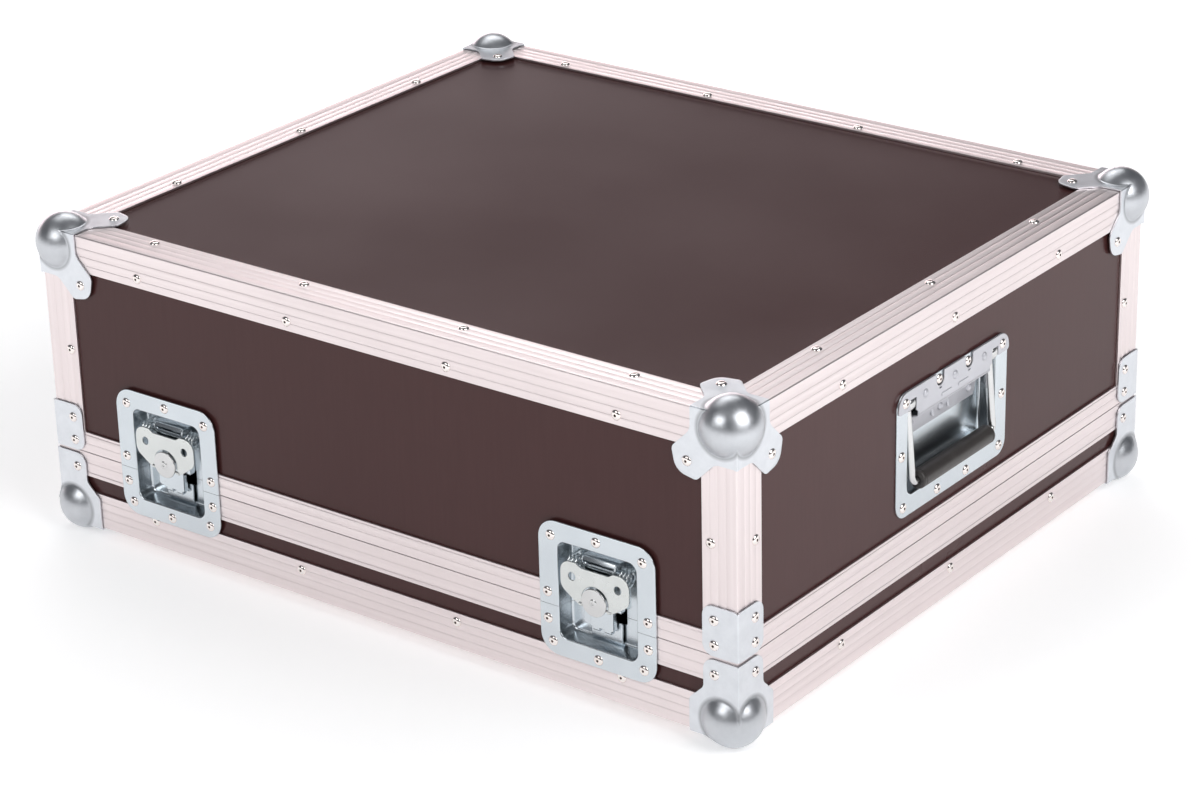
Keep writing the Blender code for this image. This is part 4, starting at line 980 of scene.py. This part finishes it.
rotorSizes = {"height": 14.5, "disc": 11, "thick": 1.8, "proud": 6.3, "hub": 8.5, "hubBack": -0.4,
              "shaft": 3, "tail": 8.8, "pin": 1, "pinLength": 30, "pinDrop": 4.5, "rivet": 3.3,
              "rim": 0.6}
wingSizes = {"proud": 4.2, "thick": 1.4, "foot": (14, -1.5), "waist": (20, 2), "side": 30.7,
             "heel": 9.5, "top": 31.3, "dip": 2.8, "shoulder": 12.5, "lobe": 9, "holeX": 20.5,
             "holeZ": 19.7, "hole": 3.3, "cutout": 12, "centre": 4.5, "eyelet": 1.7,
             "eyeletLong": 2.8}
hookSizes = {"width": 20.6, "front": 3.4, "thick": 1.4, "top": 30, "low": 10.2, "drop": 3,
             "near": 2.4, "far": 8.2, "tip": 7.3, "tipRise": 3.5, "cheekTop": 4, "cheekDeep": 8.2,
             "cheek": 1.3, "slot": 3.3, "travelDown": 7.75, "earDeep": (4.2, 5.3),
             "ear": ((-9.6, -9.4, 1), (-9.6, 1, 0.5), (-16.6, 1, 0.5), (-16.6, -9.4, 2.6))}
keeperSizes = {"wide": 14, "plate": 9.5, "low": 22, "high": 7.4, "lip": 5.3, "lipLow": 10.8,
               "ledge": 8.2, "peak": 4.6, "peakWide": 3.2}
housingSizes = {"half": 15.5, "sheet": 1.4, "face": 6.2, "low": 5, "faceTop": 32, "top": 46,
                "earLow": 31, "earFront": 1, "back": 12.2, "pin": 2, "head": 2.7, "headLong": 1.2,
                "pinLength": 58, "pinHeight": 38, "pinDepth": 4.5, "collarIn": 2.6}
latchSpring = {"start": 19.5, "coil": 6, "wire": 0.9, "turns": 2.25, "pitch": 3.2,
               "depth": 5.2, "height": 36.4, "foot": 12.2, "barDrop": 4.2}


def rotorShells():
    # disc with a slight crown and a rolled rim, hub and shaft turned about Y, then the cross pin
    s, turn = rotorSizes, quarter(5)
    front, back, disc, rim = -s["proud"], s["thick"] - s["proud"], s["disc"], s["rim"]
    edge = (disc, front + 0.25) + (-1, 1) * cornerArc(rim, 5)
    profile = np.vstack([[(0, front), (disc * 0.5, front + 0.08)], edge,
                         [(disc, back - 0.3), (disc - 0.3, back), (s["hub"], back),
                          (s["hub"], s["hubBack"]), (s["shaft"], s["hubBack"]),
                          (s["shaft"], s["tail"] - 0.4), (s["shaft"] - 0.4, s["tail"]),
                          (0, s["tail"])]])
    dome = np.stack([s["rivet"] * np.cos(turn), front - 0.75 * np.sin(turn)], 1)[:-1]
    head = np.vstack([[(0, front + 0.3), (s["rivet"], front + 0.3)], dome,
                      [(1.1, front - 0.7), (0.8, front - 0.25), (0, front - 0.2)]])
    half, r = s["pinLength"] / 2, s["pin"]
    pin = turnedX(mirrored([(0, -half), (r * 0.8, -half), (r, -half + 0.3)]), 12)
    level = wingSizes["thick"] / 2 - wingSizes["proud"]
    return [turned(profile, 48), turned(head), placed(pin, shifted(0, level, -s["pinDrop"]))]


def wingShells():
    # two lobes round the disc: one outline whose lower gap runs up round the cut-out circle
    w = wingSizes
    fx, fz = w["foot"]
    right = [(fx, fz, 1.5), (*w["waist"], 8), (w["side"], w["heel"], w["lobe"]),
             (w["side"], w["top"], w["lobe"]),
             (w["shoulder"] + 1.5 * w["dip"], w["top"], 3), (w["shoulder"], w["top"] - w["dip"], 3)]
    span = math.sqrt(w["cutout"] ** 2 - (w["centre"] - fz) ** 2)
    mouth = [(-span, fz, 0.4), (-span * 0.5, fz, 0), (span * 0.5, fz, 0), (span, fz, 0.4)]
    line = outline(np.vstack([mirrored(right, (-1, 1, 1)), mouth]))
    first = math.atan2(fz - w["centre"], -span) + 2 * math.pi
    angle = np.linspace(first, math.atan2(fz - w["centre"], span), 44)
    arc = np.stack([w["cutout"] * np.cos(angle), w["centre"] + w["cutout"] * np.sin(angle)], 1)
    keep = (np.abs(line[:, 0]) > span + 0.35) | (line[:, 1] > w["centre"])
    line = np.roll(line, -int(np.flatnonzero(~keep)[-1]) - 1, axis=0)[:int(keep.sum())]
    holes = [ring(w["hole"], 24, hand * w["holeX"], w["holeZ"]) for hand in (-1, 1)]
    half, e = w["thick"] / 2, w["eyelet"]
    eyelet = turnedX(np.vstack([mirrored([(e - 0.25, -1.4), (e, -1.15)]),
                                [(1.25, 1.4), (1.25, -1.4), (e - 0.25, -1.4)]]), 20, False)
    return [plate([np.vstack([line, arc]), *holes], -half, half, 0.3, 3, 0.3)] + [
        placed(eyelet, shifted(hand * (fx - w["eyeletLong"] / 2))) for hand in (-1, 1)]


def hookShells():
    # slotted sheet, two side flanges, two fingers curled under the keeper's lip, a left ear
    h, wide, rise = hookSizes, hookSizes["slot"], rotorSizes["height"]
    half, low, skin = h["width"] / 2, -h["low"], h["thick"] / 2
    mid, foot, end = h["front"] + skin, low - h["drop"] + skin, h["tip"] + skin
    slot = roundBox(-wide, wide, rise - wide, rise + h["travelDown"] + wide, wide * 0.98)
    shells = [plate([roundBox(-half, half, low, h["top"], 1.5), slot], h["front"],
                    h["front"] + h["thick"], 0.3)]
    flange = roundBox(h["front"] + 0.3, h["cheekDeep"], low + 0.2, h["cheekTop"], 0.8)
    finger = strip([(mid, low + 0.3), (mid, foot), (end, foot), (end, foot + h["tipRise"] - 0.7)],
                   1.3, h["thick"])
    for hand in (-1, 1):
        for line, near, far, edge in ((flange, half - h["cheek"], half, 0.3),
                                      (finger, h["near"], h["far"], 0.25)):
            shells.append(plate([line], *sorted((hand * near, hand * far)), edge, axis="x"))
    return shells + [plate([outline(h["ear"])], *h["earDeep"])]


def keeperShells():
    # raised plate on a folded foot, a ledge whose lip the hook's fingers hold
    k, sheet = keeperSizes, caseSizes["sheet"]
    w, peak, back, step = k["wide"], k["peak"], k["plate"], k["peakWide"]
    low, high, lip = 0.6 - k["low"], -k["high"] - 0.6, k["lip"] + sheet / 2
    right = [(w, low + 1, 0), (w, -peak, 1.3), (w - step, -peak, 1.3),
             (w - step - 1, high - 0.4, 1.5)]
    face = outline(np.roll(mirrored(right, (-1, 1, 1)), 1, 0), 6)
    foot = strip([(back + 4, low), (back + 0.6, low), (back + 0.6, low + 1.3)], 0.9, sheet)
    ledge = strip([(back + 0.8, high), (lip, high), (lip, -k["lipLow"])], 1.0, sheet)
    return [plate([face], back, back + sheet), plate([foot], -w, w, axis="x"),
            plate([ledge], -k["ledge"], k["ledge"], axis="x")]


def housingShells():
    # cheeks with ears, slotted face, bent top, and the riveted spring pin through the ears
    h = housingSizes
    half, sheet, face, ear, top = (h[k] for k in ("half", "sheet", "face", "earFront", "top"))
    cheek = outline([(h["back"], h["low"], 0.3), (h["back"], top - 0.1, 0.3), (ear, top - 0.1, 3),
                     (ear, h["earLow"], 3), (face + 0.2, h["earLow"] - 0.4, 1.5),
                     (face + 0.2, h["low"], 0.3)], 6)
    shells = [plate([cheek], *sorted((hand * half, hand * (half - sheet))), 0.3, axis="x")
              for hand in (-1, 1)]
    hole = ring(rotorSizes["shaft"] + 0.3, 28, 0, rotorSizes["height"])
    wide = half - 0.3
    shells.append(plate([roundBox(-wide, wide, h["low"] + 0.3, h["faceTop"], 0.8), hole], face,
                        face + sheet, 0.3))
    bent = strip([(h["back"], top - sheet / 2), (ear + 2.2, top - sheet / 2),
                  (ear + 0.9, top - 3.4)], 1.5, sheet)
    shells.append(plate([bent], -wide, wide, 0.3, axis="x"))
    end, head, long = -h["pinLength"] / 2, h["head"], h["headLong"]
    pin = turnedX(mirrored([(0, end), (head - 0.5, end), (head, end + 0.4), (head, end + long),
                            (h["pin"], end + long)]), 20)
    collar = turnedX(mirrored([(2.1, -1.1), (3.5, -1.1), (3.9, -0.7)]), 24)
    for shell, x in ((pin, 0), (collar, h["collarIn"] - half), (collar, half - h["collarIn"])):
        shells.append(placed(shell, shifted(x, h["pinDepth"], h["pinHeight"])))
    return shells


def springShell(s, sides=10):
    # leg from the floor, coil P(a) = (x falling by the pitch, depth - r sin a, height + r cos a),
    # then a bend into the cross bar; the other half is its mirror image
    depth, height, coil = s["depth"], s["height"], s["coil"]
    angle = np.linspace(0, 2 * np.pi * s["turns"], int(s["turns"] * 28) + 1)
    far = s["start"] + s["pitch"] * s["turns"]
    radial = np.stack([0 * angle, -np.sin(angle), np.cos(angle)], 1)
    winding = coil * radial + np.stack([far - s["pitch"] * angle / (2 * np.pi), 0 * angle + depth,
                                        0 * angle + height], 1)
    leg = [(far, y, height + coil) for y in np.linspace(s["foot"], depth + 0.8, 4)]
    rise, back = cornerArc(2.2 * s["wire"], 8).T
    corner = np.stack([s["start"] - back, 0 * rise + depth - coil, height - s["barDrop"] + rise], 1)
    path = mirrored(np.vstack([leg, winding, corner]), (-1, 1, 1))
    guide = np.vstack([np.tile((0.0, 0, 1), (4, 1)), radial, np.tile((0.0, -1, 0), (8, 1))])
    return tube(path, s["wire"], mirrored(guide, (1, 1, 1)), sides)


def buildLatches():
    rotor, wing, hook = rotorShells(), wingShells(), hookShells()
    keeper, housing, wire = keeperShells(), housingShells(), springShell(latchSpring)
    lift = shifted(0, 0, rotorSizes["height"])
    flap = shifted(0, wingSizes["thick"] / 2 - wingSizes["proud"], -rotorSizes["pinDrop"])
    for tag in latchPlaces:
        place, name = latchFrame(tag), "latch_" + tag
        fitted(name, (
            ("_rotor", rotor, place @ lift, name + "_turn", nickel, "nickel_plated_steel"),
            ("_wing", wing, place @ lift @ flap, name + "_flap", wingPlate, "zinc_plated_steel"),
            ("_hook", hook, place, name + "_draw", zinc, "zinc_plated_steel"),
            ("_housing", housing, place, "hood", zinc, "zinc_plated_steel"),
            ("_spring", [wire], place, "hood", springSteel, "spring_steel")))
        solid("keeper_" + tag, [placed(s, place) for s in keeper], "base", zinc,
              "zinc_plated_steel", ["base_latch_dish_" + tag])
    print("latches done")


# Sprung drop handle

handleSizes = {"height": 142, "width": 156, "tall": 102, "corner": 12, "openWidth": 128,
               "openTop": 46, "openBottom": 36, "openCorner": 8, "depth": 13, "draft": 1.5,
               "sideRivet": 71, "rivetX": 68.5, "rivetZ": 42.5, "midX": 20.4, "midZ": 45,
               "front": -3.0, "bend": 27, "side": 35, "foot": 3, "tongue": 51, "notchTop": 42.9,
               "holeTop": 30.5, "notchNear": 53.6, "notchFar": 62.5, "step": (8.6, 22.6),
               "lugX": 36, "lugWide": 6, "uWide": 5.4, "uLow": 40.2, "dishIn": 2.1}
bailSizes = {"radius": 3.2, "half": 57.5, "bend": 6, "height": 38, "depth": 3.6, "end": 32,
             "drop": 26, "proud": 2, "knuckle": 7.0, "knuckleHalf": 5.2, "knuckleAt": 58.2}
gripSizes = {"radius": 7.5, "length": 102, "round": 1.8, "bore": 3.5, "bandIn": 3.2,
             "bandDeep": 0.35}
handleSpring = {"start": 42, "coil": 4.2, "wire": 0.6, "turns": 2.25, "pitch": 2.2,
                "depth": 3.6, "height": 38, "foot": 12.7, "barDrop": 7}
# pressings of the hinge plate: flat domes, domes on the tongue, bars and ribs
plateMarks = {"domes": ((-41.7, 41.5), (0, 41.5), (41.7, 41.5)), "domeRadius": 3.5,
              "domeRise": 2.1, "lowDomes": (-41, 0, 41), "lowAt": 13, "bars": (-11.8, 11.8),
              "barLong": 14.5, "barWide": 2.8, "barAt": 32, "ribs": (-11, 11), "ribAt": 12.5,
              "ribLong": 8.5}


def hingePlateShells():
    # flat top with two U notches and arm notches, then the sloping tongue with its pressings
    h, m, b, sheet = handleSizes, plateMarks, bailSizes, caseSizes["sheet"]
    front, half, top = h["front"], h["width"] / 2, h["tall"] / 2
    back, middle = front + sheet, front + sheet / 2
    u, at, bend = h["uWide"], h["midX"], h["bend"] + 0.2
    right = [(h["tongue"], bend, 0.3), (h["tongue"], h["holeTop"], 1),
             (h["notchNear"], h["holeTop"] + 1.5, 0.8), (h["notchNear"], h["notchTop"], 1),
             (h["notchFar"], h["notchTop"], 1), (h["notchFar"], h["side"], 0.6),
             (half, h["side"], 3), (half, top, h["corner"]), (at + u, top, 0.8),
             (at + u, h["uLow"], u * 0.95), (at - u, h["uLow"], u * 0.95), (at - u, top, 0.8)]
    slits = [roundBox(hand * at - 1.8, hand * at + 1.8, h["uLow"] - 2.4, h["uLow"] - 1.3, 0.4, 3)
             for hand in (-1, 1)]
    shells = [plate([outline(mirrored(right, (-1, 1, 1)), 6), *slits], front, back, 0.3)]
    stepY, stepZ = h["step"]
    endY, endZ = h["depth"] - 0.6, h["foot"] + 0.7
    slope = strip([(middle, bend + 0.35), (middle, bend - 1.2), (stepY, stepZ), (endY, endZ)], 1.6,
                  sheet)
    shells.append(plate([slope], -h["tongue"], h["tongue"], 0.3, axis="x"))
    runY, runZ = endY - stepY, endZ - stepZ
    lean = turnedAbout("X", -math.degrees(math.atan2(runY, -runZ))) @ shifted(0, -sheet / 2 - 0.02)

    def onTongue(x, z):
        return shifted(x, stepY + (z - stepZ) / runZ * runY, z) @ lean

    dome = bump(m["domeRadius"], m["domeRise"])
    shells += [placed(dome, shifted(x, front, z)) for x, z in m["domes"]]
    shells += [placed(dome, onTongue(x, m["lowAt"])) for x in m["lowDomes"]]
    long, wide, end = m["barLong"] / 2, m["barWide"] / 2, -m["ribLong"] / 2
    bar = plate([roundBox(-long, long, -wide, wide, wide * 0.95)], -0.6, 0.3, 0.35)
    shells += [placed(bar, shifted(x, front, m["barAt"])) for x in m["bars"]]
    rib = turnedX(mirrored([(0, end), (0.9, end + 0.15), (1.4, end + 0.7), (1.6, end + 1.6)]), 16)
    rib = placed(rib, np.diag((1, 0.6, 1, 1)) @ turnedAbout("Y", 90))
    shells += [placed(rib, onTongue(x, m["ribAt"])) for x in m["ribs"]]
    y, z, hole = b["depth"], b["height"], b["radius"] + 0.3
    around = hole + sheet
    lug = outline([(back - 0.2, z - around, 0.2), (y + around, z - around, 3),
                   (y + around, z + around, 3), (back - 0.2, z + around, 0.2)], 6)
    for hand in (-1, 1):
        x, wide = hand * h["lugX"], h["lugWide"] / 2
        shells.append(plate([lug, ring(hole, 24, y, z)], x - wide, x + wide, 0.3, axis="x"))
    return shells


def bailShells():
    # bent round bar with a barrel at each bend: radius r * sqrt(1 - (x / half)^4) about the hinge
    b = bailSizes
    out, low = b["depth"] + b["proud"], b["height"] + b["drop"]
    x, end = b["half"], b["end"]
    line = bentPath([(-end, 0, 0), (-x, 0, 0), (-x, -out, -low), (x, -out, -low), (x, 0, 0),
                     (end, 0, 0)], b["bend"], 12)
    t = np.sin(np.linspace(-np.pi / 2, np.pi / 2, 17))
    barrel = turnedX(np.stack([b["knuckle"] * np.sqrt(1 - t ** 4), b["knuckleHalf"] * t], 1), 32)
    return [tube(line, b["radius"], (0.0, 1.0, 0.0), 18)] + [
        placed(barrel, shifted(hand * b["knuckleAt"])) for hand in (-1, 1)]


def gripShells():
    # rubber sleeve: rounded ends, and a shallow moulded band near each end
    g, b, half, r = gripSizes, bailSizes, gripSizes["length"] / 2, gripSizes["radius"]
    at, dip = g["bandIn"] - half, r - g["bandDeep"]
    end = (r, -half) + (-1, 1) * cornerArc(g["round"], 6)
    profile = mirrored(np.vstack([[(g["bore"], -half)], end,
                                  [(r, at), (dip, at + 0.3), (dip, at + 0.9), (r, at + 1.2)]]))
    sleeve = turnedX(np.vstack([profile, profile[:1]]), 40, False)
    return [placed(sleeve, shifted(0, -b["depth"] - b["proud"], -b["height"] - b["drop"]))]


def buildHandles():
    h = handleSizes
    half, tall, opening = h["width"] / 2, h["tall"] / 2, h["openWidth"] / 2
    dish = pressedDish((-half, half, -tall, tall, h["corner"]),
                       (-opening, opening, -h["openBottom"], h["openTop"], h["openCorner"]),
                       h["depth"], h["draft"])
    hinge, bail, grip = hingePlateShells(), bailShells(), gripShells()
    wire = springShell(handleSpring, 8)
    axis = shifted(0, bailSizes["depth"], bailSizes["height"])
    for side in handleTags:
        place = sideFrame(side, 0, caseSizes["under"] + h["height"], h["dishIn"])
        name = "handle_" + side
        fitted(name, (
            ("_dish", [dish], place, "hood", zinc, "zinc_plated_steel"),
            ("_hinge_plate", hinge, place, "hood", paleZinc, "zinc_plated_steel"),
            ("_spring", [wire], place, "hood", springSteel, "spring_steel"),
            ("_bail", bail, place @ axis, name + "_swing", nickel, "nickel_plated_steel"),
            ("_grip", grip, place @ axis, name + "_swing", rubber, "grip_rubber")))
        for hand in (-1, 1):
            for x, z, sheets in ((h["sideRivet"], 0, 1), (h["rivetX"], -h["rivetZ"], 1),
                                 (h["midX"], -h["midZ"], 1), (h["rivetX"], h["rivetZ"], 2),
                                 (h["midX"], h["midZ"], 1)):
                rivetAt("hood", place, hand * x, z, sheets * caseSizes["face"])
    print("handles done")


# Foam pads

foamSizes = {"inset": 15.1, "corner": 12, "base": (18.9, 33.9), "hood": (232.1, 252.1),
             "edge": 3.5, "backEdge": 0.6, "dent": 0.7, "pitch": 14, "rings": (1, 0.02, 30),
             "waves": ((31, 37), (83, 67))}


def buildFoam():
    # rings from the rounded box's outline shrink to the middle; the face away from the panel
    # sinks by two crossed sine waves, and its edge is a quarter circle
    f, edge = foamSizes, foamSizes["edge"]
    halfX, halfY = (caseSizes[k] / 2 - f["inset"] for k in ("width", "depth"))
    loop = denser(roundBox(-halfX, halfX, -halfY, halfY, f["corner"]), f["pitch"])
    for half, face in (("base", 1), ("hood", -1)):
        back, open_ = f[half][::face]
        lines = [(inset(loop, f["backEdge"]), back), (loop, back + face * f["backEdge"])]
        lines += [(inset(loop, near), open_ - face * far) for near, far in cornerArc(edge, 6)[::-1]]
        for part in np.linspace(*f["rings"])[1:]:
            line = inset(loop, edge) * part
            wave = sum((np.sin(line / size + (k, 2 * k))).prod(1)
                       for k, size in enumerate(f["waves"]))
            dent = f["dent"] * min(1, (1 - part) * 6) * (2 + wave) / 4
            lines.append((line, open_ - face * dent))
        rows = np.stack([np.column_stack([line, z + 0 * line[:, 0]]) for line, z in lines])
        pad = solid(half + "FoamPad", [capped(rows)], half, foam, "black_foam",
                    [half + "_foam_pad"], 50)
    print("foam done")


# Floor, light and camera

# lengths in metres; the floor's glow grows from near to far, the world brightens round backWay
studio = {"floor": 30.0, "drop": 0.0002, "aim": 0.13, "patch": 0.995,
          "floorTone": (0.95, 0.95, 0.95), "glow": 0.85, "nearGlow": 0.46,
          "near": 0.4, "far": 1.5, "dark": (0.125, 0.13, 0.14), "bright": (4.2, 3.6, 3.65),
          "backWay": (-0.80, 0.60, -0.8), "blend": (0.7, 0.9)}
# direction from the case in degrees round from +X and up, distance, watts, width, height
softboxes = {"left": (-98, 33, 2.6, 14, 1.3, 1.1), "right": (-12, 37, 2.2, 24, 1.4, 1.4),
             "topLeft": (127, 46, 2.6, 9, 1.7, 0.8), "topBack": (152, 58, 2.6, 9, 1.9, 1.2)}


def buildStage():
    # a pale floor that glows more with the distance from the case, so that it stays white
    line = np.linspace(-500, 500, 3) * studio["floor"]
    x, y = np.meshgrid(line, line)
    mesh = meshOf("floor", grid(np.dstack([x, y, np.full_like(x, -1000 * studio["drop"])])))
    finish, tree, shader = newFinish("paleFloor", 0.0, 0.9)
    tone = studio["floorTone"]
    colour = mixColours(tree, mottled(tree, 0.6, 40.0)["Cloud"],
                        [t * studio["patch"] for t in tone], tone)
    away = computed(tree, "VectorMath", "LENGTH", objectPoint(tree), output="Value")
    far = addNode(tree, "MapRange", [("Value", away), ("From Min", studio["near"]),
                                     ("From Max", studio["far"])])
    lit = mixColours(tree, far.outputs[0], [t * studio["nearGlow"] for t in tone], tone)
    linkAll(tree, shader, {"Base Color": colour, "Emission Color": lit})
    shader.inputs["Emission Strength"].default_value = studio["glow"]
    mesh.materials.append(finish)
    floor = objectOf("floor", mesh)


def softbox(name, azimuth, elevation, distance, watts, width, height):
    lamp = bpy.data.lights.new(name, "AREA")
    lamp.shape = "RECTANGLE"
    lamp.size, lamp.size_y, lamp.energy = width, height, watts
    item = objectOf(name, lamp)
    az, el = math.radians(azimuth), math.radians(elevation)
    way = Vector((math.cos(az) * math.cos(el), math.sin(az) * math.cos(el), math.sin(el)))
    item.location = way * distance + Vector((0, 0, studio["aim"]))
    item.rotation_euler = (-way).to_track_quat("-Z", "Y").to_euler()


def buildLight():
    # a dark room, a bright horizon behind the case and to its left, and four softboxes
    world = bpy.data.worlds.new("studio")
    bpy.context.scene.world = world
    world.use_nodes = True
    tree = world.node_tree
    way = addNode(tree, "TexCoord").outputs["Generated"]
    along = computed(tree, "VectorMath", "DOT_PRODUCT", way, studio["backWay"], output="Value")
    part = addNode(tree, "MapRange", [("Value", along), ("From Min", studio["blend"][0]),
                                      ("From Max", studio["blend"][1])])
    colour = mixColours(tree, part.outputs[0], studio["dark"], studio["bright"])
    tree.links.new(colour, tree.nodes["Background"].inputs["Color"])
    for name, values in softboxes.items():
        softbox(name + "Softbox", *values)
    bpy.context.scene.view_settings.view_transform = "Standard"


viewSizes = {"place": (1.571055, -2.054745, 1.22856), "azimuth": 37.414, "elevation": 23.757,
             "roll": -1.405, "focal": 3485.73 / 1200 * 36, "sensor": 36}


def buildCamera():
    # the photograph's own viewpoint, found from its straight edges
    v = viewSizes
    az, el, roll = (math.radians(v[k]) for k in ("azimuth", "elevation", "roll"))
    back = Vector((math.sin(az) * math.cos(el), -math.cos(az) * math.cos(el), math.sin(el)))
    right = Vector((0, 0, 1)).cross(back).normalized()
    up = back.cross(right)
    place = Matrix((math.cos(roll) * right + math.sin(roll) * up,
                    math.cos(roll) * up - math.sin(roll) * right, back)).transposed().to_4x4()
    place.translation = v["place"]
    lens = bpy.data.cameras.new("photoView")
    lens.sensor_width, lens.lens, lens.clip_end = v["sensor"], v["focal"], 100
    camera = objectOf("photoView", lens)
    camera.matrix_world = place
    bpy.context.scene.camera = camera


# CAD nodes that keep their own shape

slotFinish = {"phenolic_ply": ply, "anodised_aluminium": aluminium, "corner_steel": cornerSteel,
              "zinc_plated_steel": zinc, "nickel_plated_steel": nickel, "spring_steel": springSteel,
              "grip_rubber": rubber, "black_foam": foam}


def dressNodes():
    # every node that is still shown takes the finish of its own material slot
    slots = {row["node"]: row["material_slot"] for row in frame["record"]["subparts"]}
    for name, item in nodes.items():
        item.data.materials.clear()
        item.data.materials.append(slotFinish[slots[name]])


buildCamera()
buildLight()
buildStage()
buildEdging()
buildCorners()
buildLatchDishes()
buildLatches()
buildHandles()
buildFoam()
buildRivets()
dressNodes()
